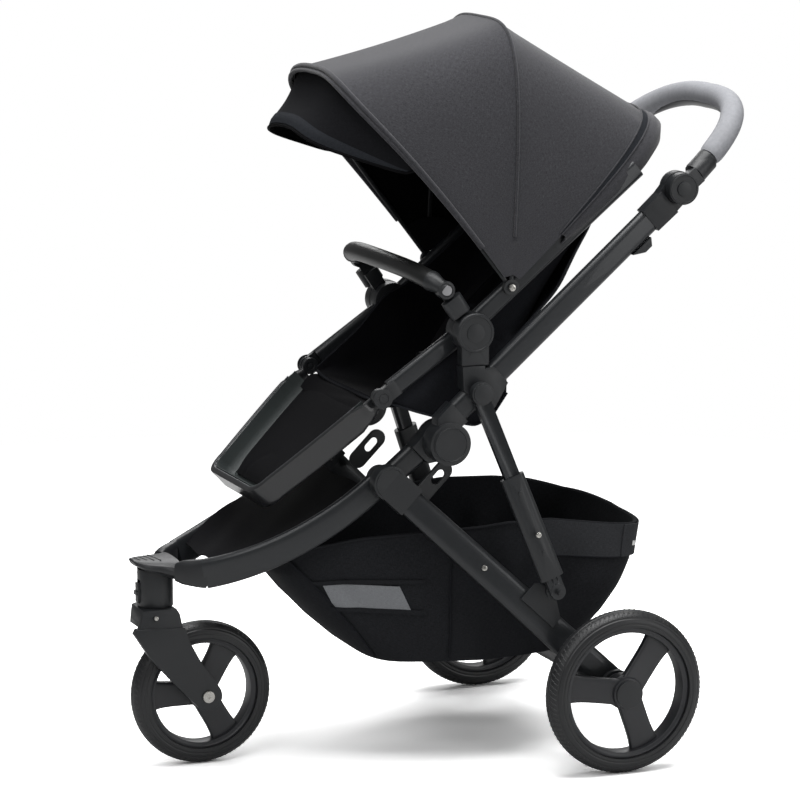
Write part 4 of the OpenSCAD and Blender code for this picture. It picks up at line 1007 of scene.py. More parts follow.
def cushionAt(v, q):
    # v runs from the hinge to the front, q across from -1 to 1
    s = mixed(cushion["near"], cushion["far"], v)
    corner = max(0.0, s - (cushion["far"] - cushion["corner"])) / cushion["corner"]
    w = (legrestEdge(s) - cushion["inset"]) * (1 - cushion["narrow"] * corner ** 2.2)
    crown = cushion["crown"] * (1 - abs(q) ** 6) * (1 - (2 * v - 1) ** 8)
    # half-round seam near the front
    seam = math.hypot((q * w) / cushion["seamRadius"], (s - cushion["seamAt"]) / cushion["seamRadius"])
    dip = -cushion["seamDeep"] * hump(seam, 1, cushion["seamWide"]) if s < cushion["seamTo"] else 0
    return onLegrest(q * w, s, cushion["up"] + crown + dip)


def makeCushion():
    rows, cols = 30, 28
    top = [[cushionAt(i / rows, -1 + 2 * j / cols) for j in range(cols + 1)] for i in range(rows + 1)]
    pad = sheetPiece("legrestCushion", top, cushion["thick"], ["seatCloth"], "legrest")
    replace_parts(pad, "legrest_pad")


makeLegrest()
makeCushion()
print("legrest made")


# bumper bar and handlebar grip
# reach and angle are how far each bar stands out and which way, ease how soon; ref turns its section
bumper = {"x": [180, 176, 118.8, 0], "reach": 36, "ease": 0.66, "angle": 27, "radius": 14.6, "sides": 24,
          "from": 0.24, "steps": 34, "rise": 8, "riseOver": 1.25, "ref": 30}
grip = {"x": [191, 187, 137.52, 0], "reach": 182, "ease": 0.62, "angle": 40.3, "radius": 18.0, "sides": 28,
        "from": 0.21, "steps": 50, "bow": 16, "ref": -38.7, "stitchRadius": 16.9}
coverEnd = {"roll": 0.16, "over": 0.8}


def mirroredPath(half):
    return half + [p * mirrorX for p in half[-2::-1]]


def bumperPath():
    turn, reach = math.radians(bumper["angle"]), bumper["reach"]
    d = np.array([0, -math.cos(turn), math.sin(turn)])
    out = []
    for t in np.linspace(bumper["from"], 1, bumper["steps"]):
        x, s = bezier(*bumper["x"], t), bezier(0, bumper["ease"] * reach, reach, reach, t)
        rise = bumper["rise"] * math.sin(math.pi / 2 * min(1, bumper["riseOver"] * t))
        out.append(bumperElbow * [0, 1, 1] + [x, 0, rise] + d * s)
    return mirroredPath(out)


def gripPath(start, count=grip["steps"]):
    turn, reach = math.radians(grip["angle"]), grip["reach"]
    d = np.array([0, math.cos(turn), math.sin(turn)])
    out = []
    for t in np.linspace(start, 1, count):
        s = bezier(0, grip["ease"] * reach, reach, reach, t) + grip["bow"] * t * (1 - t)
        out.append(barJoint * [0, 1, 1] + [bezier(*grip["x"], t), 0, 0] + d * s)
    return mirroredPath(out)


def coveredBar(name, path, size, finish, body, node):
    # the cover rolls in at its two ends
    n = len(path)
    shares = [1 - coverEnd["roll"] * math.exp(-min(i, n - 1 - i) / coverEnd["over"]) for i in range(n)]
    widths = [2 * size["radius"] * k for k in shares]
    sections = [roundSection(w, w, 1, size["sides"]) for w in widths]
    ref = (0, math.sin(math.radians(size["ref"])), math.cos(math.radians(size["ref"])))
    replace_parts(piece(name, swept(path, sections, ref), finish, body), node)


coveredBar("bumperCover", bumperPath(), bumper, "bumperLeather", "bumper", "bumper_bar")
coveredBar("gripCover", gripPath(grip["from"]), grip, "gripLeather", "handlebar",
           "grip_cover")
print("bars made")


# tubes of the chassis
rails = {"nose": (-384, 308), "join": (-133.5, 435), "noseBend": (78, 20), "joinBend": (62, 54), "steps": 40,
         "high": (46, 41), "thick": 18, "power": 0.62, "x": (128, 25), "splayFrom": -440, "splayOver": 314.5}


def railX(y):
    return mixed(*rails["x"], (1 - min(1, max(0, (y - rails["splayFrom"]) / rails["splayOver"]))) ** 3)


def railAt(t):
    (y0, z0), (y1, z1), (dy0, dz0), (dy1, dz1) = (rails[k] for k in ("nose", "join", "noseBend", "joinBend"))
    y = bezier(y0, y0 + dy0, y1 - dy1, y1, t)
    return [railX(y), y, bezier(z0, z0 + dz0, z1 - dz1, z1, t)]


def makeRails():
    ts = np.linspace(0, 1, rails["steps"] + 1)
    sections = [roundSection(rails["thick"], mixed(*rails["high"], t), rails["power"], 40) for t in ts]
    left = swept([railAt(t) for t in ts], sections, (1, 0, 0))
    for name, node, part in (("sideRailLeft", "rail_left", left),
                             ("sideRailRight", "rail_right", flipped(left))):
        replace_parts(piece(name, part, "framePaint", "front_frame"), node)


makeRails()
print("rails made")


# rivets, screws and raised rings
rivetPart = turned([(0.4, -1.0), (4.6, -1.0), (4.6, 0.6), (4.0, 1.5), (2.6, 1.9), (2.0, 1.9), (1.7, 1.1),
                    (0.3, 1.1)])
screwPart = turned([(0.4, -1.0), (3.4, -1.0), (3.4, 0.5), (2.9, 1.0), (1.6, 1.0), (1.5, 0.1), (0.3, 0.1)])
stitchPart = turned([(0.25, -1.6), (0.5, -1.0), (0.5, 1.0), (0.25, 1.6)], 6)
# legRivet is how far down the leg and out from its middle; handleFoot is reach and angle from the fold
# pivot, and handleScrews are reaches from there along handleAngle
fasteners = {
    "legTopX": 159, "legFootX": 250, "legRivet": (194, 11.2), "handleScrews": (96, 120), "handleX": 193.0,
    "handleFoot": (22.9, 131.3), "handleAngle": 41.3, "strut": (80.3, 365.6),
    "crown": (39.0, -451.0, 238.0), "canopyX": 173.4, "crownSize": 0.8, "canopySize": 1.25,
}


def legRivetSpot(s, out):
    # s down the left rear leg from its top pivot, out from its middle plane
    top = np.array([fasteners["legTopX"], legTop[1], legTop[2]])
    down = unit(np.array([fasteners["legFootX"] - fasteners["legTopX"], *(rearAxle - legTop)[1:]]))
    side = -unit(np.cross(np.cross(down, outX), down))
    side = side if side[0] > 0 else -side
    return top + down * s + side * out, side, down


def makeFasteners():
    foot = foldPivot[1:] + polar(*fasteners["handleFoot"])
    screws = [(at(fasteners["handleX"], foot + polar(s, fasteners["handleAngle"])), outX, outY)
              for s in fasteners["handleScrews"]]
    coverFace = max(v.co.x for v in nodes["strut_covers"].data.vertices) * 1000
    scatter("legRivets", bothSides([legRivetSpot(*fasteners["legRivet"])]), rivetPart, "brightMetal",
            "rear_legs")
    scatter("handleScrews", bothSides(screws), screwPart, "darkPlastic", "handle_frame")
    scatter("strutRivets", bothSides([(at(coverFace, fasteners["strut"]), outX, outY)]), rivetPart,
            "brightMetal", "struts")
    scatter("forkRivets", [(np.array(fasteners["crown"]), outX, outY)], rivetPart, "brightMetal", "fork",
            fasteners["crownSize"])
    scatter("canopyRivets", bothSides([(at(fasteners["canopyX"], canopyYZ), outX, outY)]), rivetPart,
            "brightMetal", "seat", fasteners["canopySize"])


# raised rings on the round joints: x, centre, radius, width and body
jointRings = {
    "seatHubRing": (193.0, seatHub, 28.5, 3.0, "handle_frame"),
    "foldHubRing": (204.6, foldPivot, 26.0, 1.4, "handle_frame"),
    "barJointRing": (207.0, barJoint, 22.6, 2.0, "handlebar"),
    "legCapRing": (170.0, legTop, 23.0, 1.2, "rear_legs"),
}
hingeCap = [(0.0, 15.5), (2.4, 14.8), (2.4, 8.6), (1.6, 8.2), (1.6, 6.4), (2.2, 6.0)]


def boss(name, x, centre, steps, body):
    # steps are (height, radius) from the rim inwards; the boss starts a little inside the joint
    inner = x - 2.5
    profile = [(inner, 0.5), (inner, steps[0][1])] + [(x + h, r) for h, r in steps]
    profile.append((x + steps[-1][0], 0.5))
    part = lathe(profile, centre[1:], 72)
    piece(name, joined([part, flipped(part)]), "darkPlastic", body, 30)


def makeBosses():
    for name, (x, centre, r, wide, body) in jointRings.items():
        boss(name, x, centre, [(0.0, r), (0.9, r - 0.5), (0.9, r - wide), (0.1, r - wide - 0.5)], body)
    boss("legrestHingeCap", 165.0, legrestHinge, hingeCap, "seat")


makeFasteners()
makeBosses()
print("fasteners and rings made")


# tyres and rims
# grooves are (angle from the tread's middle, width, depth); sipes are (count, rows by angle)
wheels = {
    "front": {"radius": 110, "tyre": 38, "rim": 29, "turn": 60, "hub": 24, "hubHalf": 24,
              "grooves": [(14, 3.0, 0.7), (62, 2.6, 0.8), (84, 3.0, 0.9)], "sipes": (80, [38])},
    "rear": {"radius": 125, "tyre": 40, "rim": 31, "turn": 52, "hub": 27, "hubHalf": 20,
             "grooves": [(10, 2.6, 0.8), (60, 2.6, 0.9), (86, 3.0, 1.0)], "sipes": (96, [24, 44])},
}
tyre = {"deep": 24, "bead": 118, "steps": 93, "sipe": (7.2, 2.6, 0.9), "sipeSink": 0.55, "sipeSkew": 0.45}
rim = {"ring": 9.5, "bore": 6.4, "spokes": 3, "spokeFrom": 4, "spokeWide": 39, "spokeThick": 15,
       "flare": 4, "flareEnd": 9, "thinner": 2.0, "spokePower": 0.34}
rearX, rearDish = 287, 10


def tyreProfile(size):
    # half circle of rubber with grooves round the tread, from bead to bead
    r, w = size["radius"], size["tyre"]
    points = []
    for a in np.linspace(-tyre["bead"], tyre["bead"], tyre["steps"]):
        dip = sum(deep * math.exp(-((abs(a) - g) / wide) ** 4) for g, wide, deep in size["grooves"])
        k = w / 2 - dip
        height = r - w / 2 + k * math.cos(math.radians(a))
        if height >= r - tyre["deep"]:
            points.append((k * math.sin(math.radians(a)), height))
    return [(points[0][0], r - tyre["deep"])] + points + [(points[-1][0], r - tyre["deep"])]


def sipeSpots(size, x, centre):
    count, rows = size["sipes"]
    r, w = size["radius"], size["tyre"]
    spots = []
    for side in (-1, 1):
        for row in rows:
            lean = math.radians(side * row)
            for k in range(count):
                a = 2 * math.pi * (k + (0.5 if row == rows[0] else 0)) / count
                radial, around = at(0, (math.cos(a), math.sin(a))), at(0, (-math.sin(a), math.cos(a)))
                out = radial * math.cos(lean) + outX * math.sin(lean)
                middle = at(x, centre) + radial * (r - w / 2)
                along = unit(np.cross(out, around) + around * tyre["sipeSkew"])
                spots.append((middle + out * (w / 2 - tyre["sipeSink"]), out, along))
    return spots


def makeTyre(name, node, size, x, centre, body):
    profile = [(x + px, pr) for px, pr in tyreProfile(size)]
    obj = piece(name, lathe(profile, centre, 120), "tyreRubber", body, 50)
    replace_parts(obj, node)
    scatter(name + "Tread", sipeSpots(size, x, centre), block(*tyre["sipe"]), "tyreRubber", body)


def makeRim(name, node, size, x, centre, body, dish=0.0):
    r, half, hub, hubHalf = size["radius"], size["rim"] / 2, size["hub"], size["hubHalf"]
    window = r - tyre["deep"] - rim["ring"]
    # half profiles, from the rim's edge to its middle
    ring = [(half, r - 24.4), (half + 0.6, r - 27), (half - 1.4, r - 29.5), (half - 1.8, window + 0.6),
            (half - 4, window)]
    cap = [(hubHalf, rim["bore"]), (hubHalf, hub - 5), (hubHalf - 1, hub - 3.6), (9.5, hub - 1), (8.5, hub)]
    parts = [lathe([(x - a, b) for a, b in side] + [(x + a, b) for a, b in side[::-1]], centre, segments)
             for side, segments in ((ring, 120), (cap, 72))]
    for k in range(rim["spokes"]):
        a = math.radians(size["turn"] + 360 / rim["spokes"] * k)
        along, across = at(0, (math.cos(a), math.sin(a))), at(0, (-math.sin(a), math.cos(a)))
        spoke = []
        for t in np.linspace(0, 1, 15):
            wide = rim["spokeWide"] + rim["flare"] * max(0, 2 * t - 1) ** 2 + rim["flareEnd"] * t ** 8
            section = roundSection(rim["spokeThick"] - rim["thinner"] * t, wide, rim["spokePower"], 32)
            middle = at(x + dish * (1 - t) ** 1.5, centre) + along * mixed(rim["spokeFrom"], window + 5, t)
            spoke.append(middle + section[:, :1] * outX + section[:, 1:] * across)
        parts.append(tubeParts(np.array(spoke)))
    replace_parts(piece(name, joined(parts), "rimPlastic", body, 38), node)


makeTyre("frontTyre", "front_tyre", wheels["front"], 0, frontAxle[1:], "front_wheel")
makeRim("frontRim", "front_rim", wheels["front"], 0, frontAxle[1:], "front_wheel")
for label, node, side in (("Left", "left", 1), ("Right", "right", -1)):
    makeTyre("rearTyre" + label, "rear_tyre_" + node, wheels["rear"], rearX * side, rearAxle[1:],
             "wheel_" + node)
    makeRim("rearRim" + label, "rear_rim_" + node, wheels["rear"], rearX * side, rearAxle[1:],
            "wheel_" + node, rearDish * side)
print("tyres and rims made")


# raised ribs on the nose deck
noseRibs = {"count": 4, "y": -468, "pitch": 9, "half": 9, "widen": 4.2, "z": 322.6, "slant": 0.16,
            "crown": 0.4, "section": (2.2, 1.4)}


def makeNoseTrim():
    parts = []
    for k in range(noseRibs["count"]):
        y, half = noseRibs["y"] + noseRibs["pitch"] * k, noseRibs["half"] + noseRibs["widen"] * k
        path = [[x, y + noseRibs["slant"] * x, noseRibs["z"] + noseRibs["crown"] * math.cos(x / half)]
                for x in np.linspace(-half, half, 9)]
        parts.append(swept(path, roundSection(*noseRibs["section"], 0.8, 8), (0, 1, 0)))
    piece("noseRibs", joined(parts), "darkPlastic", "front_frame")


makeNoseTrim()
print("nose ribs made")


# bumper elbows and the stitches of the two covers
elbow = {
    "disc": [(171.0, 0.5), (171.0, 13.6), (183.5, 13.9), (187.0, 13.0), (188.0, 11.4), (188.0, 9.2),
             (187.0, 8.8), (187.0, 0.5)],
    "sleeve": [(20, 24, 0.8), (24, 27, 0.85), (31.2, 31.2, 1), (31.2, 31.2, 1)], "buttonX": 187.0,
    "button": [(0.4, -2.0), (8.2, -2.0), (8.2, 0.2), (7.4, 1.0), (0.4, 1.2)],
}
stitches = {"round": 22, "roundLift": 0.2, "roundJitter": 0.06, "pitch": 5.0, "seamLift": 0.15,
            "seamSize": 0.9, "seamJitter": 0.05, "ends": 2}


def makeBumperEnds():
    centre, path = bumperElbow[1:], bumperPath()
    disc = lathe(elbow["disc"], centre, 48)
    start = path[0]
    back = unit(start - path[2])
    root = at(bumper["x"][0], centre)
    neck = [root, mixed(root, start, 0.5), start - back * 2, start - back * 8]
    sleeve = swept(neck, [roundSection(*s, 20) for s in elbow["sleeve"]], (0, 0.5, 0.87))
    piece("bumperElbows", joined([disc, flipped(disc), sleeve, flipped(sleeve)]), "darkPlastic", "bumper",
          34)
    scatter("bumperButtons", bothSides([(at(elbow["buttonX"], centre), outX, outY)]),
            turned(elbow["button"], 28), "silverButton", "bumper")


def coverStitches(name, path, radius, ref, body):
    # a ring of stitches near each end of the cover
    spots = []
    first = stitches["ends"]
    for k in (first, len(path) - 1 - first):
        p, ahead = path[k], path[k + 1 if k < len(path) / 2 else k - 1]
        t = unit(ahead - p)
        s = unit(np.cross(t, np.array(ref, float)))
        u = np.cross(t, s)
        for a in np.linspace(0, 2 * math.pi, stitches["round"], endpoint=False):
            out = s * math.cos(a) + u * math.sin(a)
            spots.append((p + out * (radius + stitches["roundLift"]), t, out))
    scatter(name, spots, stitchPart, "whiteTag", body, 1.0, stitches["roundJitter"])


def seamStitches(name, path, radius, up, body):
    # a sewn line along the side of the bar that up points to
    p, pitch = np.array(path), stitches["pitch"]
    lengths = distances(p)
    spots = []
    for d in np.arange(pitch, lengths[-1] - pitch, pitch):
        q, ahead = (np.array([np.interp(s, lengths, p[:, c]) for c in range(3)]) for s in (d, d + 1))
        t = unit(ahead - q)
        out = unit(np.array(up, float) - np.dot(up, t) * t)
        spots.append((q + out * (radius + stitches["seamLift"]), t, out))
    scatter(name, spots, stitchPart, "gripLeather", body, stitches["seamSize"],
            stitches["seamJitter"])


makeBumperEnds()
coverStitches("bumperEndStitches", bumperPath(), bumper["radius"], (0, 0.5, 0.87), "bumper")
coverStitches("gripEndStitches", gripPath(grip["from"]), grip["stitchRadius"], (0, -0.62, 0.78), "handlebar")
seamStitches("gripSeam", gripPath(0.24), grip["stitchRadius"], (0, -0.78, -0.62), "handlebar")
seamStitches("bumperSeam", bumperPath()[3:-3], bumper["radius"], (0, 0.5, -0.87), "bumper")
print("bumper ends and stitches made")


# harness: paths in the side view are (y, z), or (along, above) the back for top; hip is (x, y, z)
harness = {
    "x": 42, "lowX": 19, "wide": 34, "thick": 3.4, "padWide": 46, "padThick": 9, "padLift": 5.0,
    "hipWide": 25, "padShares": (0.72, 0.96, 1.0, 1.0, 1.0, 0.96, 0.72), "webShare": 0.74,
    "top": ((262, -2.5), (150, -37)), "sag": (-9, 10), "slack": 0.8, "hipRise": 4,
    "crotch": ((-14, 553.5), (-14, 562), (-11, 574), (-7, 584)),
    "hip": ((132, 46.0, 572.0), (24, -1.0, 590.0)), "buckleAt": (4.0, 592.0), "crotchThick": 6.0,
    "buckle": [(-9.5, 592.0, 44, 26), (-8.5, 592.0, 50, 32), (2.5, 594.0, 50, 32), (3.5, 594.0, 42, 25)],
    "button": [(0.4, -2), (9.5, -2), (9.5, 1.6), (8.4, 2.8), (0.4, 3.2)],
}


def ribbon(path, wide, thick, ref=(1, 0, 0), power=0.5, sides=16):
    widths = wide if isinstance(wide, list) else [wide] * len(path)
    return swept(path, [roundSection(w, thick, power, sides) for w in widths], ref)


def makeHarness():
    web, pads = [], []
    lift = at(0, polar(harness["padLift"], seat["back"] + 90))
    buckleAt = np.array(harness["buckleAt"])
    (s0, up0), (s1, up1) = harness["top"]
    (hx0, hy0, hz0), (hx1, hy1, hz1) = harness["hip"]
    for side in (1, -1):
        x = harness["x"] * side
        top = [at(x, onBack(mixed(s0, s1, t), mixed(up0, up1, t))) for t in np.linspace(0, 1, 9)]
        low = []
        for t in np.linspace(0.12, 1, 8):
            sag = np.array(harness["sag"]) * arch(t) * harness["slack"]
            low.append(at(mixed(x, harness["lowX"] * side, t), mixed(onBack(s1, up1), buckleAt, t) + sag))
        web.append(ribbon(top + low, harness["wide"] * harness["webShare"], harness["thick"]))
        widths = [harness["padWide"] * k for k in harness["padShares"]]
        pads.append(ribbon([p + lift for p in top[2:]], widths, harness["padThick"], power=0.6, sides=20))
        hip = [[mixed(hx0 * side, hx1 * side, t), mixed(hy0, hy1, t),
                mixed(hz0, hz1, t) + harness["hipRise"] * arch(t)] for t in np.linspace(0, 1, 9)]
        web.append(ribbon(hip, harness["hipWide"], harness["thick"], (0, -0.6, 0.8)))
    web.append(ribbon([at(0, p) for p in harness["crotch"]], harness["wide"], harness["crotchThick"]))
    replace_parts(piece("harnessStraps", joined(web), "webbing", "seat"), "harness")
    piece("harnessPads", joined(pads), "seatCloth", "seat")
    buckle = swept([[0, y, z] for y, z, _, _ in harness["buckle"]],
                   [roundSection(w, h, 0.6, 28) for _, _, w, h in harness["buckle"]], (1, 0, 0))
    piece("harnessBuckle", buckle, "glossPlastic", "seat", 34)
    face = at(0, harness["buckle"][0][:2])
    scatter("harnessButton", [(face, np.array([0, -1.0, 0.08]), outX)], turned(harness["button"], 24),
            "darkPlastic", "seat")


makeHarness()
print("harness made")


# seat trim: piping along the edge and round the front hem, and a tag
seatTrim = {"edge": 2.3, "hem": 2.6, "hemX": 141, "hemAhead": 1.5, "hemBow": 3, "hemBowOver": 140,
            "hemUp": 8, "hemDip": 9, "hemDipOver": 142, "tag": (9, 16, 1.0), "tagAt": (146.4, -22.0, 607.0)}


def makeSeatTrim():
    edge = smoothLine(frameLine(), 60, 3)
    parts = [tube([at(side * (seat["half"] - 0.6), p) for p in edge], seatTrim["edge"], sides=10)
             for side in (1, -1)]
    y, z = underLine(seat["inset"])[0]
    hem = []
    for x in np.linspace(-seatTrim["hemX"], seatTrim["hemX"], 30):
        bow = seatTrim["hemBow"] * (1 - abs(x) / seatTrim["hemBowOver"]) ** 2
        dip = seatTrim["hemDip"] * (1 - (x / seatTrim["hemDipOver"]) ** 4)
        hem.append([x, y - seatTrim["hemAhead"] + bow, z + seatTrim["hemUp"] - dip])
    parts.append(tube(hem, seatTrim["hem"], (0, 0, 1), 10))
    piece("seatPiping", joined(parts), "seatShell", "seat")
    scatter("seatTag", [(np.array(seatTrim["tagAt"]), outX, outY)], block(*seatTrim["tag"]), "whiteTag",
            "seat")


makeSeatTrim()
print("seat trim made")


# basket: front and rear ends by height, half width by y, and the two rims by y
basket = {
    "front": [(156, -116), (178, -148), (214, -189), (262, -233), (312, -270), (347, -275)],
    "rear": [(156, 150), (178, 212), (216, 250), (250, 273), (292, 297), (350, 308)],
    "half": [(-275.5, 100), (-180, 108), (-60, 145), (20, 168), (284, 171)],
    "rim": {1: [(-275.5, 332), (-150, 352), (-60, 360), (60, 370), (130, 371), (230, 356), (288, 348)],
            -1: [(-275.5, 332), (-150, 350), (0, 366), (90, 374), (180, 370), (240, 362), (288, 350)]},
    "top": 350, "bottom": 164, "floor": 158, "floorRise": 8, "taper": 0.08, "square": (9, 0.31),
    "levels": 30, "around": 216, "cloth": 2.0, "cuff": 0.27, "floorRings": (0.93, 0.8, 0.6, 0.4, 0.2, 0.05),
    "floorSag": 2.4, "floorWave": (0.7, 21), "fold": 5.4, "foldAt": (0.48, 0.2), "foldFrom": -60,
    "bulge": 3.0, "ripple": 4.6, "liningHalf": (160, 270),
}
# net window: shares of the depth from and to, y from and to, lift off the bag and rows of each strip
window = {"slant": 90, "tilt": 0.07, "columns": 24, "netThick": 1.0, "edgeThick": 1.2,
          "net": (0.325, 0.525, -208, -98, 1.8, 8), "edge": (0.29, 0.325, -226, -60, 2.6, 4),
          "hem": (0.525, 0.565, -194, -60, 2.6, 4)}
# cuff, seams, piping, rim and tag; each lift is how far its line stands off the bag
trim = {"cuffY": (104, 280), "cuffLift": 4.0, "cuffThick": 1.6, "cuffPiping": 1.2, "pipingLift": 3.4,
        "seams": ((-268, 150), (-22, 0)), "seam": 1.5, "seamLift": 2.0, "seamSpan": (0.02, 0.97), "rim": 2.3,
        "rimLift": 1.0, "rearCuff": 0.62, "rearLift": 4.4, "tag": (12, 7, 0.8), "tagAt": (0.17, 272, 4.6)}


def basketSpan(k):
    # middle and half length of the bag at share k of its depth
    z = mixed(basket["top"], basket["bottom"], k)
    front, rear = table(basket["front"], z), table(basket["rear"], z)
    return (front + rear) / 2, (rear - front) / 2


def basketPoint(k, turn, grow=0.0):
    # k runs from 0 at the rim to 1 at the floor; turn is the angle round the bag, 0 at the rear
    c, s = math.cos(turn), math.sin(turn)
    mid, reach = basketSpan(k)
    y = mid + reach * c
    power, root = basket["square"]
    w = table(basket["half"], y) * (1 - basket["taper"] * k ** 2)
    x = w * math.copysign(max(0.0, 1 - abs(c) ** power) ** root, s)
    q = abs(turn) if turn < math.pi else 2 * math.pi - turn
    bulge = (basket["bulge"] * arch(k) * math.sin(3 * q + 0.7)
             + basket["ripple"] * math.sin(9 * q + 5 * k) * k * (1 - k) * 2)
    fold = (basket["fold"] * hump(k, *basket["foldAt"]) * math.sin(13 * q + 3 * math.sin(5 * q))
            * (1 if y > basket["foldFrom"] else 0.2))
    rimZ = table(basket["rim"][1 if s > 0 else -1], y)
    z = mixed(rimZ, basket["floor"] + basket["floorRise"] * max(0, (y - 40) / 200), k)
    # what stands out sideways fades to nothing at the front and rear seams
    out = (bulge + fold + grow) * min(1, abs(s) * 3) * math.copysign(1 if abs(s) > 1e-6 else 0, s)
    return np.array([x + out, y + (grow + fold * 0.6) * c * 0.9, z])


def turnAt(y, k, side):
    # the angle whose point lies at y on that side of the bag
    mid, reach = basketSpan(k)
    turn = math.acos(max(-1, min(1, (y - mid) / reach)))
    return turn if side > 0 else 2 * math.pi - turn


def basketPiece(name, part, finish, sharp=42):
    return piece(name, part, finish, "front_frame", sharp)


def makeBasket():
    turns = np.linspace(0, 2 * math.pi, basket["around"], endpoint=False)
    rings = [np.array([basketPoint(k, t) for t in turns]) for k in np.linspace(0, 1, basket["levels"])]
    last = rings[-1]
    centre = last.mean(axis=0)
    high, wave = basket["floorWave"]
    for f in basket["floorRings"]:
        ring = centre + (last - centre) * f
        ripple = high * np.sin(ring[:, 1] / wave) * (1 - f)
        ring[:, 2] = last[:, 2] - basket["floorSag"] * arch(1 - f) + ripple
        rings.append(ring)
    outer = np.array(rings)
    n, m = outer.shape[:2]
    middleY = outer[..., 1].mean()
    # the lining lies about the cloth's thickness inside; liningHalf is about half the bag's width and length
    across, along = (1 - basket["cloth"] / half for half in basket["liningHalf"])
    inner = outer.copy()
    inner[..., 0] *= across
    inner[..., 1] = middleY + (inner[..., 1] - middleY) * along
    inner[1:, :, 2] += basket["cloth"] * np.linspace(0, 1, n - 1)[:, None]
    k = n * m
    faces = gridFaces(n, m, True) + [tuple(j + (n - 1) * m for j in range(m))]
    under = [tuple(i + k for i in f[::-1]) for f in faces]
    lip = [(j, j + k, (j + 1) % m + k, (j + 1) % m) for j in range(m)]
    uv = ringUv(outer)
    part = np.vstack([outer.reshape(-1, 3), inner.reshape(-1, 3)]), faces + under + lip, np.vstack([uv, uv])
    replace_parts(basketPiece("basketCloth", part, "basketCloth", 60), "basket")


def patch(k0, k1, y0, y1, side, grow, rows, cols, slant=0.0, tilt=0.0):
    # strip that stands off the bag's side; slant moves its lower rows back, tilt lowers its rear end
    grid = []
    for k in np.linspace(k0, k1, rows):
        stations = [(k + tilt * t, mixed(y0, y1, t) + slant * (k - k0)) for t in np.linspace(0, 1, cols)]
        grid.append([basketPoint(deep, turnAt(y, deep, side), grow) for deep, y in stations])
    return grid


def windowStrip(name, key, side, finish, thick):
    k0, k1, y0, y1, lift, rows = window[key]
    grid = patch(k0, k1, y0, y1, side, lift, rows, window["columns"], window["slant"], window["tilt"])
    sheetPiece(name, grid, thick, [finish], "front_frame", side < 0)


def makeBasketSide(label, side):
    # net window painted pale grey for the light that shows through it from behind, with its edge and hem, the
    # cuff, and the seams of the front panel
    windowStrip("basketNet" + label, "net", side, "basketNet", window["netThick"])
    windowStrip("basketWindowEdge" + label, "edge", side, "basketCloth", window["edgeThick"])
    windowStrip("basketWindowHem" + label, "hem", side, "basketCloth", window["edgeThick"])
    cuff, (y0, y1) = basket["cuff"], trim["cuffY"]
    grid = patch(0.0, cuff, y0, y1, side, trim["cuffLift"], 8, 40)
    sheetPiece("basketCuff" + label, grid, trim["cuffThick"], ["basketCuff"], "front_frame",
               side < 0)
    lines = []
    for y, slant in trim["seams"]:
        path = [basketPoint(k, turnAt(y + slant * k, k, side), trim["seamLift"])
                for k in np.linspace(*trim["seamSpan"], 26)]
        lines.append(tube(path, trim["seam"]))
    path = [basketPoint(cuff, turnAt(y, cuff, side), trim["pipingLift"]) for y in np.linspace(y0, y1 - 2, 50)]
    lines.append(tube(path, trim["cuffPiping"], (0, 0, 1)))
    basketPiece("basketPiping" + label, joined(lines), "seatShell")


def makeBasketTrim():
    makeBasketSide("Left", 1)
    makeBasketSide("Right", -1)
    turns = np.linspace(0, 2 * math.pi, basket["around"], endpoint=False)
    path = [basketPoint(0, t, trim["rimLift"]) for t in turns]
    basketPiece("basketRim", tube(path, trim["rim"], (0, 0, 1), 10, True), "basketCloth")
    turns = np.linspace(-trim["rearCuff"], trim["rearCuff"], 80)
    cuff = [[basketPoint(k, t, trim["rearLift"]) for t in turns] for k in np.linspace(0, basket["cuff"], 8)]
    sheetPiece("basketRearCuff", cuff, trim["cuffThick"], ["basketCuff"], "front_frame")
    k, y, lift = trim["tagAt"]
    scatter("basketTag", [(basketPoint(k, turnAt(y, k, 1), lift), outX, outY)], block(*trim["tag"]),
            "whiteTag", "front_frame")


# flap of cloth between the rails
flap = {"from": -366, "to": -150, "inset": 7, "up": 9, "crown": 9, "sag": 6, "fold": 2.6, "farLift": 11,
        "thick": 1.8}


def flapAt(y, z, q):
    # q runs across from rail to rail, v along the rails
    v = (y - flap["from"]) / (flap["to"] - flap["from"])
    sag = flap["sag"] * (1 - q * q) * arch(min(1, v * 1.2 + 0.12))
    fold = flap["fold"] * math.sin(11 * v + 5 * q) * (1 - q * q)
    far = flap["farLift"] * max(0, -q) ** 3 * arch(min(1, v * 1.6))
    crown = flap["up"] + flap["crown"] * arch(min(1, v * 1.3))
    return [(railX(y) - flap["inset"]) * q, y, z + crown - sag + fold + far]


def makeFlap():
    track = np.array([railAt(t) for t in np.linspace(0, 1, 60)])
    grid = np.array([[flapAt(y, np.interp(y, track[:, 1], track[:, 2]), q) for q in np.linspace(-1, 1, 25)]
                     for y in np.linspace(flap["from"], flap["to"], 30)])
    obj = sheetPiece("basketFlap", grid, flap["thick"], ["seatCloth"], "front_frame")
    return obj, grid


makeBasket()
makeBasketTrim()
flapSheet = makeFlap()
print("basket made")


# cloth that joins the seat to the legrest, and the tray's floor
bridge = {"start": (24, -22), "mid": (-2, -9), "end": (40, -9), "half": (149, 132), "fold": 1.5, "edge": 7.0,
          "thick": 1.8, "blendEnd": (-0.03, -0.034)}
trayFloor = {"from": 20, "to": 226, "inset": 6, "up": -15.5, "curl": 1.2, "round": 22, "thick": 2.0}
legrestLip = {"inset": 2.0, "up": 17.4, "radius": 1.2}


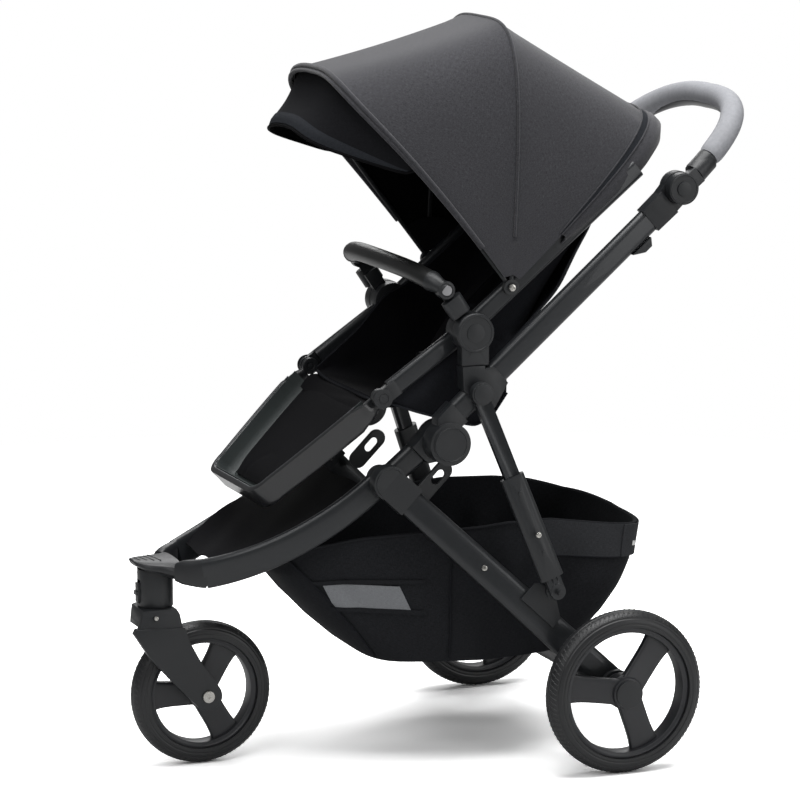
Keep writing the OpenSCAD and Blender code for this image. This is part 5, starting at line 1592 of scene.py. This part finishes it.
def bridgeAt(q, t):
    hinge = legrestHinge[1:]
    start, mid = hinge + np.array(bridge["start"]), hinge + np.array(bridge["mid"])
    end = onLegrest(0, *bridge["end"])[1:]
    p = start * (1 - t) ** 2 + 2 * mid * t * (1 - t) + end * t * t
    fold = bridge["fold"] * math.sin(9 * t + 4 * q) * arch(t)
    return at(q * mixed(*bridge["half"], t),
              p + np.array([0.4, 1.0]) * fold + np.array([0, bridge["edge"] * abs(q) ** 6]))


def makeBridge():
    grid = np.array([[bridgeAt(q, t) for t in np.linspace(0, 1, 15)] for q in np.linspace(-1, 1, 31)])
    obj = sheetPiece("legrestBridge", grid, bridge["thick"], ["seatCloth"], None, True)
    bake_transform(obj)
    return obj, grid


def makeTrayFloor():
    grid = []
    for s in np.linspace(trayFloor["from"], trayFloor["to"], 22):
        half = legrestEdge(s)
        if s >= legStraight:
            half = legrest["front"] - trayFloor["round"] * ((s - legStraight) / legrest["corner"]) ** 2
        half -= trayFloor["inset"]
        grid.append([onLegrest(half * q, s, trayFloor["up"] + trayFloor["curl"] * abs(q) ** 4)
                     for q in np.linspace(-1, 1, 21)])
    sheetPiece("legrestFloor", grid, trayFloor["thick"], ["legrestTray"], "legrest")
    # narrow lip along the upper inner edge of the band, painted a lighter colour to stand for the highlight
    # along that edge
    path = [p + legUp * legrestLip["up"] for p in legrestPath(legrestLip["inset"])[3:-3]]
    piece("legrestLip", tube(path, legrestLip["radius"], tuple(legUp), 10), "lipPlastic", "legrest")


bridgeSheet = makeBridge()
makeTrayFloor()
print("seat's bridge and tray floor made")


# slotted latch plates: rings of the plate and then of its slot, each by half length, radius and height
# above the plate's inner face
latchPlate = {
    "angle": 45.2, "centre": (-45.6, 436.5), "slotShift": 9,
    "plate": [(22, 13.2, 0.8), (22, 14, 0), (22, 14, 4.2), (22, 13.2, 5.0)],
    "slot": [(6, 7.4, 5.0), (6, 6.8, 4.4), (6, 6.8, 0.6), (6, 7.4, 0)],
}
# plastic sleeves at the ends of the grip, cut from a longer and finer path of the same bar
gripSleeve = {"from": 0.1, "steps": 80, "kept": 10, "radius": 16.2}


def stadium(half, r, count=24):
    arc = [np.array([half + r * math.cos(a), r * math.sin(a)])
           for a in np.linspace(-math.pi / 2, math.pi / 2, count)]
    return np.array(arc + [-p for p in arc])


def makeLatchPlates():
    face = min(abs(v.co.x) * 1000 for v in nodes["latch_plates"].data.vertices)
    along, up = polar(1, latchPlate["angle"]), polar(1, latchPlate["angle"] + 90)
    centre = np.array(latchPlate["centre"])
    grid = []
    for key, shift in (("plate", 0), ("slot", latchPlate["slotShift"])):
        for half, r, height in latchPlate[key]:
            grid.append([[face + height, *(centre + along * (a + shift) + up * b)]
                         for a, b in stadium(half, r)])
    grid = np.array(grid)
    points, faces = grid.reshape(-1, 3), gridFaces(*grid.shape[:2], True, True)
    for name, side in (("latchPlateLeft", points), ("latchPlateRight", points * mirrorX)):
        plate = piece(name, (side, faces, None), "darkPlastic", "rear_legs", 38)
        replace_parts(plate, "latch_plates")


def makeGripSleeves():
    path = gripPath(gripSleeve["from"], gripSleeve["steps"])[:gripSleeve["kept"]]
    sides = [tube(side, gripSleeve["radius"], (0, 0, 1), 28)
             for side in (path, [p * mirrorX for p in path])]
    piece("gripSleeves", joined(sides), "darkPlastic", "handlebar")


makeLatchPlates()
makeGripSleeves()
print("latch plates and grip sleeves made")


# cloth at the back and sides of the seat: lines of (y, z) points; x is the side cloth's place, and bow is
# how far it stands out in its middle
backCloth = {
    "line": ((92, 645), (110, 662), (134, 688), (160, 718), (190, 764), (212, 806), (224, 838)), "half": 152,
    "inward": 14, "fold": 2.4, "thick": 1.8,
}
sideCloth = {
    "top": ((-118, 574), (-100, 584), (-56, 623), (-16, 652), (24, 660), (66, 640)),
    "foot": ((-121, 562), (-112, 559), (-80, 547), (-48, 537), (-16, 527), (17, 519), (44, 532), (68, 566)),
    "x": 147.5, "bow": 3, "fold": 2.2, "thick": 1.8, "pipingX": 152.5, "piping": 1.7,
}
anchor = {"x": 160.5, "dish": 0.0006, "angles": (36, 127), "radii": (13, 66), "thick": 1.2}


def seatSheet(name, grid, thick, finish, flip):
    obj = sheetPiece(name, grid, thick, [finish], "seat", flip)


def makeBackCloth():
    line = smoothLine(backCloth["line"], 26)
    grid = []
    for v, p in zip(np.linspace(0, 1, len(line)), line):
        row = []
        for q in np.linspace(-1, 1, 33):
            inward = backCloth["inward"] * abs(q) ** 9
            fold = backCloth["fold"] * math.sin(9 * v + 5 * q) * arch(v)
            row.append(at(backCloth["half"] * q, p + np.array([-1.0, 0.5]) * (inward - fold - 1)))
        grid.append(row)
    seatSheet("seatBackCloth", grid, backCloth["thick"], "seatShell", True)


def makeSideCloth(label, side):
    top, foot = smoothLine(sideCloth["top"], 40), smoothLine(sideCloth["foot"], 40)
    grid = []
    for f in np.linspace(0, 1, 16):
        row = []
        for v, a, b in zip(np.linspace(0, 1, 40), top, foot):
            fold = sideCloth["fold"] * math.sin(15 * v + 7 * f) * arch(f) * arch(v)
            row.append(at(side * (sideCloth["x"] + sideCloth["bow"] * arch(f) + fold), a + (b - a) * f))
        grid.append(row)
    seatSheet("seatSideCloth" + label, grid, sideCloth["thick"], "seatShell", side > 0)
    edge = tube([at(side * sideCloth["pipingX"], q) for q in foot], sideCloth["piping"])
    piece("seatSidePiping" + label, edge, "zipTape", "seat")
    # fan of cloth that anchors the canopy round its pivot
    fan = [[at(side * (anchor["x"] - anchor["dish"] * d * d), canopyYZ + polar(d, a))
            for a in np.linspace(*anchor["angles"], 18)] for d in np.linspace(*anchor["radii"], 7)]
    seatSheet("canopyAnchor" + label, fan, anchor["thick"], "seatCloth", side < 0)


makeBackCloth()
makeSideCloth("Left", 1)
makeSideCloth("Right", -1)
print("seat and legrest cloth made")

# the basket's pieces, all but the flap, each take a mesh of their own
for obj in list(bpy.data.objects):
    if obj.name.startswith("basket") and obj.name not in ("basketFlap", "basket"):
        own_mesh(obj)
